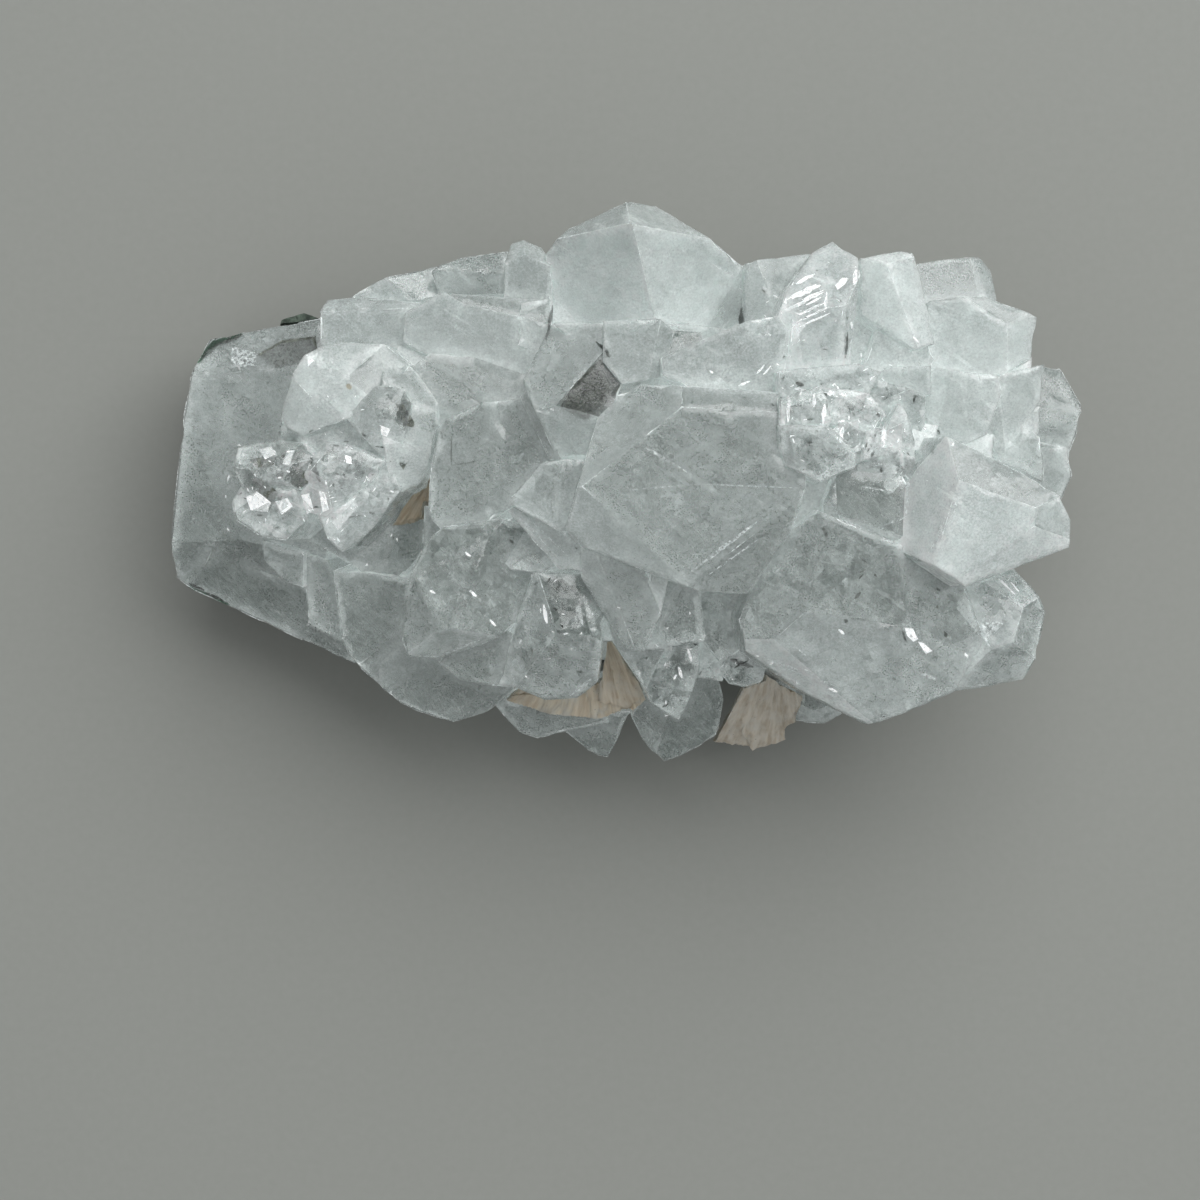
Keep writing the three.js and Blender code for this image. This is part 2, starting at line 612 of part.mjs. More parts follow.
    outline: [[29.8, 2.8], [32.6, 2.6], [33, 5.6], [30, 5.8]],
  },
  seam_far_east: {
    at: [42, 12, 29],
    faces: [[20, 12, 0]],
    rim: 28.6,
    outline: [[40.4, 10.8], [43.6, 11], [43.8, 13.2], [40.6, 13.4]],
  },
};

// The solid body of the crust that the crystals stand on, in the same terms.
const body = {
  west: {
    at: [-26, -1, 15], floor: 8,
    faces: [[180, 4, 0]],
    rim: 14, outline: [[-46, -10], [-36, -14], [-22, -20], [-8, -21], [-8, 21], [-30, 17], [-44, 12]],
  },
  middle: {
    at: [8, 0, 25], floor: 9,
    faces: [[0, 0, 0], [265, 50, 11], [95, 50, 17]],
    rim: 16, outline: [[-16, -19], [4, -20], [24, -18], [20, 23], [0, 25], [-18, 18]],
  },
  east: {
    at: [30, 1, 27], floor: 9,
    faces: [[0, 0, 0], [0, 45, 9], [90, 45, 12], [270, 45, 12]],
    rim: 20, outline: [[16, -18], [34, -17], [40, -6], [42, 8], [35, 17], [16, 20]],
  },
};

// Smaller crystals that point outwards from under the edge of the crust: the tip, the way each
// leans (degrees from +X towards +Y), its lean from upright, its turn about its own length, its
// width across the sides and its length.
const edgeCrystals = [
  { tip: [-37, 18.5, 12.5], way: 112, lean: 60, turn: 12, width: 8.5, length: 18 },
  { tip: [-26, 21.0, 11.5], way: 104, lean: 66, turn: 40, width: 8, length: 18 },
  { tip: [-14, 23.6, 13.0], way: 96, lean: 58, turn: 5, width: 9.5, length: 20 },
  { tip: [-3, 25.6, 11.0], way: 92, lean: 70, turn: 30, width: 9, length: 20 },
  { tip: [9, 26.5, 15.5], way: 84, lean: 60, turn: 18, width: 10.5, length: 22 },
  { tip: [20, 25.0, 11.5], way: 78, lean: 68, turn: 44, width: 8.5, length: 20 },
  { tip: [30, 25.0, 16.0], way: 66, lean: 58, turn: 8, width: 10, length: 20 },
  { tip: [38, 20.5, 11.0], way: 48, lean: 66, turn: 28, width: 8, length: 18 },
  { tip: [45.5, 14.0, 14.0], way: 22, lean: 62, turn: 14, width: 9, length: 20 },
  { tip: [46.5, 4.5, 11.0], way: 4, lean: 70, turn: 38, width: 8.5, length: 20 },
  { tip: [46.0, -5.0, 16.0], way: 350, lean: 60, turn: 10, width: 10, length: 20 },
  { tip: [42.5, -14.5, 12.5], way: 328, lean: 64, turn: 32, width: 9, length: 18 },
  { tip: [34.5, -20.5, 15.0], way: 304, lean: 58, turn: 16, width: 9.5, length: 18 },
  { tip: [25.0, -22.0, 10.5], way: 284, lean: 68, turn: 42, width: 7.5, length: 16 },
  { tip: [6.0, -25.5, 10.0], way: 272, lean: 70, turn: 20, width: 7, length: 14 },
  { tip: [-20.0, -23.5, 11.0], way: 252, lean: 64, turn: 8, width: 8, length: 15 },
  { tip: [-30.0, -18.0, 10.5], way: 240, lean: 68, turn: 34, width: 7.5, length: 14 },
];

// The rock, as overlapping broken blocks with a flat foot, in the crystals' terms. Slopes over
// 90 are undercut faces.
const rock = {
  west: {
    at: [-34, 2, 7], floor: 0,
    faces: [[150, 6, 5.4], [182, 98, 15.9], [205, 120, 18.4], [262, 78, 17.4], [258, 122, 16.4],
      [98, 80, 16.2], [110, 120, 15.6]],
    rim: 6,
    outline: [[-51, -10.8], [-48.2, -12.3], [-44.5, -13.6], [-20, -18], [-18, 16], [-36, 18.4],
      [-44.2, 17.6], [-47.8, 16.8], [-48.8, 14.8], [-49.2, 4]],
  },
  middle: {
    at: [-2, 0, 7], floor: 0,
    faces: [[95, 6, 6], [280, 35, 16], [275, 100, 20], [250, 118, 19], [305, 112, 20], [235, 115, 26],
      [85, 104, 19.4], [70, 122, 19.2], [120, 112, 19.4]],
    rim: 5,
    outline: [[-26, -17.5], [-14, -21], [2, -21.5], [8.6, -23.6], [13, -23.4], [17, -21.5], [20, 18],
      [8, 21.5], [-8, 20.4], [-24, 17.2]],
  },
  east: {
    at: [27, 1, 7], floor: 0,
    faces: [[20, 7, 5.5], [300, 108, 17.6], [345, 115, 14.6], [10, 100, 15.2], [60, 112, 16.6],
      [85, 100, 17.4], [330, 70, 17]],
    rim: 5,
    outline: [[10, -20], [24, -18.6], [33, -15.8], [39.4, -8.4], [42, 3], [39, 12.8], [30, 18.6], [12, 20]],
  },
  shoulder: {
    at: [-36, 16.8, 16.8], floor: 4,
    faces: [[110, 14, 0], [60, 50, 3], [190, 45, 3.4]],
    rim: 15,
    outline: [[-40.2, 12], [-33, 12], [-33.4, 18.2], [-36, 19.1], [-38.6, 18.4]],
  },
  knuckle: {
    at: [-12, 15, 9], floor: 2,
    faces: [[75, 30, 3], [100, 70, 7.6], [140, 104, 8], [40, 108, 7.4], [90, 124, 8.4]],
    rim: 7,
    outline: [[-20, 14], [-6, 14], [-5, 21.6], [-10, 23.6], [-17, 22]],
  },
  toe: {
    at: [30, 12, 8], floor: 1,
    faces: [[50, 26, 3], [60, 72, 8.4], [20, 106, 9.4], [95, 112, 8.6]],
    rim: 6,
    outline: [[22, 10], [38, 6], [41.6, 10], [37, 18.6], [27, 21.2]],
  },
};

// The stilbite fans, as flat wedges given by the corners of their upper side.
const stilbite = {
  west: [
    [[-28.2, -5.2, 22.4], [-24.9, -1.3, 24.8], [-21.4, 1.2, 25.6], [-21, -3.6, 23.4], [-23.6, -4.6, 22.4]],
  ],
  south: [
    [[-2.6, -16.4, 23], [-0.9, -17.8, 22.6], [2.7, -24.1, 18], [1.6, -25.6, 17], [-3.2, -24.4, 17.6]],
    [[-16, -24.8, 15.8], [-13.4, -21.8, 17.6], [-2.9, -22.2, 18.2], [2.6, -24.4, 17.4],
      [-2.9, -26.3, 15.8], [-12, -26.4, 15.2]],
  ],
  southeast: [
    [[15, -20, 23.4], [17.4, -21, 22], [19.8, -24, 18.4], [19.2, -26.8, 14], [17.6, -28, 13]],
    [[14.6, -20, 23.2], [17, -21.4, 21.8], [18.2, -28.9, 12], [14.4, -30.2, 10.6], [13, -28, 14]],
    [[14, -20.4, 22.6], [15.6, -22, 20.6], [14.6, -29.8, 11], [10.1, -29.2, 11.4], [12.2, -24.4, 19]],
  ],
};
const WEDGE_THICKNESS = 5;

// A solid from any closed three.js geometry.
function solidOf(geometry) {
  geometry.deleteAttribute("normal");
  geometry.deleteAttribute("uv");
  const merged = mergeVertices(geometry);
  return new Manifold(new SolidMesh({
    numProp: 3,
    vertProperties: new Float32Array(merged.attributes.position.array),
    triVerts: new Uint32Array(merged.index.array),
  }));
}

// Cuts a block about a point down to what lies behind all the planes. "extra" moves every plane
// outwards, to make room around the crystal.
function cutBlock(centre, planes, extra) {
  const block = new THREE.BoxGeometry(BLOCK, BLOCK, BLOCK);
  block.translate(centre.x, centre.y, centre.z);
  return planes.reduce(
    (solid, { normal, constant }) => solid.trimByPlane([-normal.x, -normal.y, -normal.z], constant - extra),
    solidOf(block),
  );
}

// The plane of one face, from the way it faces, its slope and its distance from the anchor.
function facePlane([facing, slope, distance], anchor) {
  const turn = radians(facing);
  const tilt = radians(slope);
  const out = Math.sin(tilt);
  const normal = new THREE.Vector3(out * Math.cos(turn), out * Math.sin(turn), Math.cos(tilt));
  return new THREE.Plane(normal, -(normal.dot(anchor) + distance));
}

// The way a crystal grew: upright in the middle of the cluster, leaning outwards at its edge.
function growth({ x, y, z }) {
  const lean = FAN * Math.hypot(x, y);
  return new THREE.Vector3(lean * x, lean * y, z + ROOT_DEPTH).normalize();
}

const upright = () => new THREE.Vector3(0, 0, 1);

// One crystal or block, cut by its top faces, its sides along its axis, and its floor.
function crystal({ at, faces, rim, outline, floor = CRUST_FLOOR }, extra = 0, axisOf = growth) {
  const anchor = new THREE.Vector3(...at);
  const axis = axisOf(anchor);
  const planes = faces.map((face) => facePlane(face, anchor));
  outline.forEach(([x, y], i) => {
    const [nextX, nextY] = outline[(i + 1) % outline.length];
    const normal = new THREE.Vector3(nextX - x, nextY - y, 0).cross(axis).normalize();
    planes.push(new THREE.Plane().setFromNormalAndCoplanarPoint(normal, new THREE.Vector3(x, y, rim)));
  });
  const foot = anchor.clone().addScaledVector(axis, (floor - anchor.z) / axis.z);
  planes.push(new THREE.Plane().setFromNormalAndCoplanarPoint(axis.clone().negate(), foot));
  return cutBlock(anchor, planes, extra);
}

// A crystal of apophyllite's own shape: a square prism, four pointed faces set over its edges,
// and a small flat end.
function pointed({ tip, way, lean, turn, width, length }, extra = 0) {
  const end = new THREE.Vector3(...tip);
  const stand = new THREE.Matrix4().makeRotationZ(radians(way))
    .multiply(new THREE.Matrix4().makeRotationY(radians(lean)))
    .multiply(new THREE.Matrix4().makeRotationZ(radians(turn)));
  const face = (facing, slope, distance) => {
    const plane = facePlane([facing, slope, distance], new THREE.Vector3());
    return plane.applyMatrix4(stand).translate(end);
  };
  const foot = new THREE.Plane(new THREE.Vector3(0, 0, -1), EDGE_FLOOR);
  const planes = [face(0, 0, -POINT_CAP * width), face(0, 180, length), foot];
  for (const quarter of [0, 90, 180, 270]) {
    planes.push(face(quarter, 90, width / 2), face(quarter + 45, POINT_SLOPE, 0));
  }
  return cutBlock(end, planes, extra);
}

// All the apophyllite joined in one solid, each face moved out by "extra".
function crust(extra = 0) {
  return Manifold.union([
    ...Object.values(crystals).map((one) => crystal(one, extra)),
    ...Object.values(body).map((one) => crystal(one, extra)),
    ...edgeCrystals.map((one) => pointed(one, extra)),
  ]);
}

// A flat wedge: the corners of its upper side, and the same corners lower down.
function wedge(corners) {
  const above = corners.map((corner) => new THREE.Vector3(...corner));
  const below = above.map((corner) => corner.clone().setZ(corner.z - WEDGE_THICKNESS));
  return solidOf(new ConvexGeometry([...above, ...below]));
}

// The largest of the pieces that a cut leaves, without slivers.
function largest(solid) {
  const parts = solid.simplify(SLIVER).decompose();
  return parts.reduce((a, b) => (b.volume() > a.volume() ? b : a));
}

// A named mesh from a solid.
function piece(name, solid, colour, roughness) {
  const { vertProperties, triVerts } = solid.getMesh();
  const geometry = new THREE.BufferGeometry();
  geometry.setAttribute("position", new THREE.BufferAttribute(vertProperties, 3));
  geometry.setIndex(new THREE.BufferAttribute(triVerts, 1));
  const flat = geometry.toNonIndexed();
  flat.computeVertexNormals();
  const material = new THREE.MeshStandardMaterial({ color: colour, roughness, metalness: 0 });
  const mesh = new THREE.Mesh(flat, material);
  mesh.name = name;
  return mesh;
}

const apophyllite = largest(crust());
const room = crust(GAP);
const rockBlocks = Object.values(rock).map((block) => crystal(block, 0, upright));
const matrix = largest(Manifold.union(rockBlocks).subtract(room));

const cluster = new THREE.Group();
cluster.add(piece("apophyllite", apophyllite, 0xc3cfcc, 0.15));
cluster.add(piece("matrix", matrix, 0x232c26, 0.85));
for (const [side, wedges] of Object.entries(stilbite)) {
  const fan = largest(Manifold.union(wedges.map(wedge)).subtract(room));
  cluster.add(piece(`stilbite_${side}`, fan, 0x9c8a72, 0.45));
}

// The origin is under the middle of the finished cluster.
const middle = new THREE.Box3().setFromObject(cluster).getCenter(new THREE.Vector3());
cluster.position.set(-middle.x, -middle.y, 0);

export default cluster;
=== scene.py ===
"""Looks of the apophyllite cluster: clear to milky crystals, dark green rock and stilbite fans."""

import math
import random

import bmesh
import bpy
import numpy as np
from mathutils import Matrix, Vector, noise
from mathutils.bvhtree import BVHTree
from mathutils.kdtree import KDTree


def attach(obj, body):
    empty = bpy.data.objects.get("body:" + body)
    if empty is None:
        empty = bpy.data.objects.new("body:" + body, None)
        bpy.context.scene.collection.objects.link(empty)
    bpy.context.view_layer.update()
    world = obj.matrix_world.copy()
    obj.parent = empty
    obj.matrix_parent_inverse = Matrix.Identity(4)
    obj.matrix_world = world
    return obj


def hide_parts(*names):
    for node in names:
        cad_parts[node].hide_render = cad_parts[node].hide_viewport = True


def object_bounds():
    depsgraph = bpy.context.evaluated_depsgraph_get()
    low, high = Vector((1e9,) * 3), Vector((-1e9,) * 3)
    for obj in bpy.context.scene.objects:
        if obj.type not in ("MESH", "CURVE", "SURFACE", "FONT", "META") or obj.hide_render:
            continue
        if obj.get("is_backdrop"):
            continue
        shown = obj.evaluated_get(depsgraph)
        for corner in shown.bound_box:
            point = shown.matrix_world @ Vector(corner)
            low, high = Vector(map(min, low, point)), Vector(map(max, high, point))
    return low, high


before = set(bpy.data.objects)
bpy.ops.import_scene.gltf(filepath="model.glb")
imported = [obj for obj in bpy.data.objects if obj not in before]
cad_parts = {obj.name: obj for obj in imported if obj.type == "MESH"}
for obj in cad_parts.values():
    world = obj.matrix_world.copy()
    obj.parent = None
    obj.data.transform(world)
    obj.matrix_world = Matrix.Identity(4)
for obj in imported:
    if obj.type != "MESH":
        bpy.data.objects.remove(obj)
cad_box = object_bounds()

MM = 0.001
UP = Vector((0, 0, 1))

# ---------------------------------------------------------------- measures, in millimetres
COARSE_EDGE = 1.5           # longest edge of the crystals' fine mesh, away from the arrises
FINE_EDGE = 0.64            # and beside them
ARRIS_BAND = 0.6            # how far from an arris the mesh is fine
REFINE_PASSES = 30
ARRIS_STEP = 0.12           # spacing of the points that mark the arrises
FLAT_ANGLE = math.radians(1.2)      # faces closer in slope than this are one facet
ARRIS_ANGLE = math.radians(14)      # two facets that meet at more than this make an arris
SHADE_ANGLE = math.radians(24)
ARRIS_WEAR = 0.10           # how deep every arris is worn
CHIP_DEPTH = 0.28           # how much deeper its chips go
CHIP_LENGTH = 2.2
CHIP_GAPS = 0.05            # how far the noise must rise before a chip starts
WEAR_REACH = 0.75           # how far from an arris the wear goes, as a share of FINE_EDGE
WAVE = 0.05                 # slow unevenness of the facets
WAVE_LENGTH = 7.0

# ---------------------------------------------------------------- the facets' finish
# For each crystal, points on its facets seen from above: x, y in millimetres, how pale the facet is (0
# to 1) and how milky (0 clear, 1 milky). The paleness is partly the facet's own tone and partly painted
# light and shade: facets of one crystal are paler or darker by how light falls on them and through
# them.
FACETS = {
    "heart": [(6.7, -1.2, .40, .70), (0.3, 6.8, .52, .80), (-3.2, -4.2, .57, .80),
              (12.3, -8.8, .36, .70), (9.8, 9.1, .33, .80)],
    "heart_side": [(-9.8, -1.2, .44, .80), (-6.2, 1.1, .44, .75)],
    "heart_step": [(-6.7, -6.8, .55, .75)],
    "window": [(-6.6, 13.1, .46, .75), (-5.9, 5.7, .58, .75), (-3.1, 10.2, .14, .45)],
    "north_step": [(0.6, 14.8, .50, .85), (4.3, 15.4, .43, .85)],
    "wedge": [(9.1, 13.0, .58, .85), (14.2, 12.8, .59, .85), (4.9, 13.0, .61, .85)],
    "north": [(-2.7, 22.7, .90, .90), (7.0, 22.3, .76, .90), (2.4, 28.6, .56, .85),
              (-0.9, 28.6, .56, .85), (11.1, 19.0, .58, .75), (-6.7, 19.0, .75, .90)],
    "north_low": [(12.1, 18.3, .54, .75)],
    "north_wedge": [(6.6, 16.3, .14, .80), (-6.2, 17.0, .52, .80)],
    "between": [(14.5, 19.8, .57, .80), (16.7, 23.2, .46, .80), (12.9, 18.4, .55, .80)],
    "knob": [(-10.6, 22.9, .48, .80), (-9.6, 25.6, .46, .80), (-11.6, 25.9, .50, .80)],
    "plates": [(-26.0, 17.7, .53, .85), (-28.9, 20.3, .50, .85), (-22.9, 14.9, .58, .85),
               (-14.5, 16.4, .59, .90), (-21.0, 17.8, .64, .90), (-12.6, 19.7, .31, .85),
               (-10.4, 19.6, .48, .70), (-10.9, 15.8, .52, .75), (-22.8, 22.6, .40, .80),
               (-26.1, 22.3, .62, .80), (-16.7, 22.8, .48, .75), (-14.3, 25.0, .40, .75)],
    "grey": [(-15.0, 2.5, .38, .75), (-11.7, 7.1, .34, .75), (-18.2, 11.3, .33, .80),
             (-19.4, 8.2, .46, .80), (-9.5, 7.1, .35, .75)],
    "frosted": [(-33.4, 11.8, .66, .95), (-29.6, 14.0, .63, .95), (-27.7, 11.9, .38, .95),
                (-33.0, 7.8, .75, .95), (-35.0, 9.5, .70, .95), (-29.9, 9.4, .70, .95),
                (-30.0, 7.0, .48, .85)],
    "violet": [(-24.7, 6.0, .66, .80), (-27.9, 7.1, .60, .80), (-25.2, 8.2, .43, .75),
               (-26.5, 9.7, .37, .75), (-23.5, 7.7, .28, .65)],
    "east_plates": [(-23.3, 2.5, .68, .85), (-22.9, 11.3, .42, .85), (-21.6, 6.7, .48, .85),
                    (-25.5, 5.0, .85, .95), (-20.5, 4.8, .40, .75)],
    "glitter_west": [(-35.7, 3.7, .30, .50), (-38.4, 2.0, .50, .50), (-40.4, 3.3, .56, .55),
                     (-40.2, 0.5, .56, .50), (-35.3, 1.0, .34, .45), (-38.6, -0.1, .52, .55)],
    "glitter_southwest": [(-36.6, -3.5, .73, .60), (-40.0, -2.9, .46, .60), (-34.5, -4.5, .77, .65),
                          (-41.3, -1.0, .74, .80), (-34.1, -3.2, .58, .70)],
    "glitter_middle": [(-31.4, 2.4, .51, .60), (-30.0, -0.3, .69, .65), (-33.2, -1.0, 1.0, .85),
                       (-31.4, 4.5, .58, .65), (-32.5, 3.7, .46, .60)],
    "glitter_south": [(-26.0, -0.3, .53, .70), (-28.8, -4.4, .70, .70), (-31.6, -3.9, .78, .75),
                      (-24.9, -2.2, .39, .70), (-26.9, -4.6, .32, .75), (-30.4, -2.3, .95, .90)],
    "glitter_gap": [(-29.8, 5.8, .56, .70)],
    "west_slab": [(-44.2, 8.5, .44, .80), (-36.9, 16.3, .42, .75), (-47.1, -2.5, .36, .75),
                  (-48.9, -7.3, .26, .65)],
    "west_corner": [(-44.8, -9.8, .24, .65), (-48.8, -9.7, .25, .65)],
    "steps": [(-37.4, -8.2, .38, .75), (-33.4, -13.5, .38, .75), (-27.8, -13.0, .32, .70),
              (-28.1, -19.5, .32, .70), (-37.4, -12.3, .28, .70), (-32.0, -8.0, .40, .75)],
    "brown_flat": [(-24.1, -6.1, .30, .80), (-27.8, -7.5, .30, .80), (-20.9, -4.2, .36, .80)],
    "clear_west": [(-14.1, -12.3, .34, .50), (-19.3, -10.4, .36, .50), (-19.6, -6.0, .32, .50),
                   (-22.0, -15.1, .38, .60), (-19.9, -17.0, .63, .65)],
    "clear_window": [(-10.3, -7.3, .48, .55)],
    "clear_south": [(-6.4, -19.3, .51, .50), (-9.7, -15.7, .49, .60), (-6.4, -11.7, .22, .45),
                    (-3.0, -13.8, .32, .50)],
    "south_crust": [(-15.2, -19.1, .30, .65), (-19.0, -23.1, .36, .70), (-24.9, -19.5, .36, .70),
                    (-23.2, -22.3, .32, .70)],
    "foot": [(1.2, -12.3, .45, .70), (-3.2, -9.7, .56, .70), (3.7, -10.7, .57, .75),
             (6.5, -14.7, .38, .70), (5.3, -11.3, .34, .70), (2.9, -18.3, .32, .70),
             (0.8, -18.4, .34, .70)],
    "sparkle_south": [(6.1, -20.1, .36, .55), (3.8, -22.2, .38, .60), (6.0, -23.8, .40, .65),
                      (4.7, -18.1, .36, .60)],
    "dark": [(10.4, -16.8, .40, .60), (12.1, -19.7, .38, .60), (14.4, -20.3, .36, .65)],
    "rims": [(-10.0, -26.0, .36, .75), (-1.9, -28.0, .24, .75), (-4.3, -27.7, .26, .75),
             (8.3, -26.1, .22, .75), (2.9, -25.5, .36, .75), (21.5, -24.6, .12, .75)],
    "south_east": [(24.6, -18.9, .60, .65), (24.6, -9.5, .40, .60), (15.9, -12.9, .44, .65),
                   (33.2, -18.3, .55, .60), (32.2, -11.7, .40, .60), (16.2, -18.3, .96, .80),
                   (12.3, -16.1, .36, .65), (12.3, -12.8, .28, .65)],
    "south_east_tip": [(39.8, -13.6, .60, .70), (41.1, -18.9, .58, .65), (43.0, -15.9, .48, .65),
                       (41.8, -10.7, .78, .70), (38.3, -17.4, .60, .75)],
    "east": [(37.1, -4.5, .84, .90), (31.9, -0.4, .97, .90), (36.5, 1.6, .44, .80),
             (42.7, -6.3, .88, .85), (44.5, -3.4, .59, .80), (31.7, 4.0, .57, .80),
             (33.6, -9.8, 1.0, 1.0)],
    "hexagon": [(26.4, -1.6, .26, .45), (20.6, -0.8, .55, .80), (21.6, -2.1, .39, .75),
                (27.7, -5.3, .44, .80)],
    "striated": [(21.4, 22.1, .84, .85), (20.8, 15.6, .82, .80), (17.9, 13.6, .92, .90),
                 (23.8, 18.0, .80, .85), (16.3, 19.1, .88, .90), (24.5, 11.3, .60, .80)],
    "band_north": [(27.4, 18.8, .77, .90), (29.9, 22.3, .79, .95), (25.7, 17.0, .56, .85),
                   (28.3, 24.3, .80, .95)],
    "blue_north": [(35.0, 22.6, .40, .80), (38.9, 22.7, .48, .80)],
    "pale": [(37.0, 16.2, .71, .90), (42.6, 16.4, .71, .90), (41.0, 18.5, .44, .90),
             (27.7, 14.3, .63, .85), (32.1, 13.8, .62, .85), (25.7, 14.7, .58, .85),
             (31.1, 11.5, .59, .85), (28.5, 11.8, .58, .85), (38.2, 9.9, .61, .90),
             (35.1, 6.7, .61, .90), (33.1, 9.2, .65, .90), (42.7, 10.0, .60, .90),
             (39.8, 5.3, .54, .90), (42.0, 3.3, .63, .90), (43.8, 4.8, .47, .90)],
    "far_east": [(47.3, 8.6, .46, .85), (47.9, 11.7, .30, .85), (48.5, 5.9, .41, .85),
                 (48.2, 1.8, .46, .85)],
    "sparkle": [(19.8, 7.4, .58, .65), (19.4, 9.2, .48, .70), (16.4, 7.5, .98, .90),
                (20.7, 3.1, .58, .60), (17.0, 2.9, .62, .65), (23.7, 8.6, .69, .65),
                (26.0, 6.9, .76, .70), (21.7, 9.4, .63, .70), (23.9, 5.1, .49, .60),
                (26.0, 4.2, .86, .80), (28.3, 5.0, .92, .85), (30.0, 4.6, .71, .80),
                (28.8, 7.2, .84, .80), (27.6, 2.4, .48, .65), (30.5, 8.8, .62, .75),
                (27.2, 9.9, .44, .70)],
}
LOOKS = ("pale", "milky", "glitter")
# how strongly a crystal glitters
GLITTER = {"glitter_west": 1.0, "glitter_southwest": 0.9, "glitter_middle": 0.9,
           "glitter_south": 0.7, "glitter_gap": 0.6, "sparkle": 0.8, "sparkle_south": 0.9,
           "dark": 0.7, "striated": 0.5, "wedge": 0.25, "east": 0.3, "south_east": 0.35,
           "south_east_tip": 0.3, "clear_west": 0.3, "clear_south": 0.45, "clear_window": 0.4,
           "violet": 0.2, "heart_side": 0.2}
# crystals with fracture veils inside
VEILED = ("heart", "window", "north", "wedge", "grey", "violet", "east_plates", "glitter_west",
          "glitter_southwest", "glitter_middle", "glitter_south", "west_slab", "steps",
          "clear_west", "clear_window", "clear_south", "foot", "sparkle_south", "dark", "south_east",
          "south_east_tip", "east", "hexagon", "striated", "band_north", "sparkle")
VEIL_COUNT = 150
VEIL_SEED = 41
MARK_SEED = 17
GLITTERING = ("glitter_west", "glitter_southwest", "glitter_middle", "glitter_south",
              "glitter_gap", "sparkle", "sparkle_south", "dark", "clear_south", "clear_window",
              "striated")
VEIL_COVER = 0.35           # least depth of crystal over a veil
VEIL_DEPTHS = (0.5, 1.4)    # and where its middle lies
VEIL_REACHES = (1.2, 4.0)
VEIL_SPREAD = 3.0           # how widely their places scatter about the facets' points
VEIL_TILT = 0.5
VEIL_NARROW = 0.6           # its width, as a share of its length
VEIL_CORNERS = 9
VEIL_TRIES = 8              # steps in which a corner is pulled in
VEIL_LEVEL = 0.3            # no veils lie under facets steeper than this
PLATE_THICKNESS = 0.05
PLATE_DROP = 0.4            # a plate that would drop more than this is left out,
PLATE_SLOPE = 1.2           # or be steeper than this
PLATE_RISE = 0.015          # how far plates at the surface stand proud of it
CLOUD_DEPTH = 2.2           # how deep below the surface the milky insides begin
CLOUD_SHARE = 0.4           # and at most this share of the way through a crystal
CLOUD_SKIN = 0.05           # they are at least this deep,
CLOUD_LEAST = 0.02          # and this much more
CLOUD_ARRIS = 0.25          # how deep they are at an arris,
CLOUD_SLOPE = 0.7           # how fast they get deeper away from it,
GLITTER_SLOPE = 1.2         # and how much faster in glittery crystals
CLOUD_LUMP = 2.6            # size of their lumps
CLOUD_ROUGH = 0.5           # and how uneven the lumps make them
GLITTER_LUMP = 1.3          # the same for the finer lumps of the glittery ones
GLITTER_ROUGH = 1.6
SKY_SAMPLES = 20            # directions in which a place's view of the sky is tried
SKY_START = 0.15            # how far from the surface the tries start,
SKY_REACH = 25.0            # and how far they go
SKY_LOW = 0.95              # how far down from straight up the directions go, as a share
SKY_GRAZING = 0.02          # directions that lie flatter on the surface are left out
LINE_WIDTH = 0.28           # bright arrises: the factor their width is worked out from,
LINE_GAPS = 0.02            # which of their stretches are gaps,
LINE_RISE = 0.01            # how far they stand proud,
LINE_LENGTH = 3.2           # how long their stretches are,
LINE_STEP = 0.6             # how far apart their rings are,
LINE_SHORTEST = 1.0         # the shortest arris that has one,
LINE_ANGLE = math.radians(27)       # and the bluntest
SPLINTER_STEP = 0.5         # spacing of the corners along a splinter
SPLINTER_LEAST = 0.01       # and the length that the shortest ones are taken to have
FLAKE_LONG = 1.3            # a flake's length and width, as shares of its size
FLAKE_WIDE = 0.45
# random flakes: how many, how widely they scatter, and the smallest and largest size
GLINT_FLAKES = (230, 2.0, 0.07, 0.36)
FLAW_FLAKES = (150, 1.8, 0.12, 0.45)
DOT_FLAKES = (320, 3.0, 0.06, 0.15)
WELD = 1e-6                 # corners closer than this, in metres, are one
LEAST_AREA = 1e-12          # in square metres
FOOT_HEIGHT = 0.3           # the rock is left smooth below this
ROCK_EDGE = 0.9             # longest edge of its mesh
ROCK_LUMPS = ((3.0, 0.5), (1.1, 0.3))       # sizes and heights of its lumps
ROCK_SINK = 0.15            # and how far its skin is lowered for them
BLADE_EDGE = 0.35           # longest edge of the stilbite's mesh
RIB_HEIGHT = 0.30           # the ribs of its blades
FINE_RIB_HEIGHT = 0.14
RIB_SINK = 0.12
FINE_RIBS = 3.1             # fine ribs in a blade
ROUGH_ANGLE = math.radians(38)      # rock and stilbite have sharp edges from here
BLADES = 14.0               # stilbite blades in a radian
POLES = {"west": (-19.0, 4.5), "south": (-3.0, -12.0), "southeast": (17.0, -13.0)}
SIDE_PALENESS = 0.90        # the sides of the crystals go half-way towards this

# ---------------------------------------------------------------- shader maths
# places of the Mix node's sockets for colours
MIX_FACTOR, MIX_FIRST, MIX_SECOND = 0, 6, 7
MIX_COLOUR = 2
STROKE_LEAST = 1e-6         # the square of the shortest stroke's length


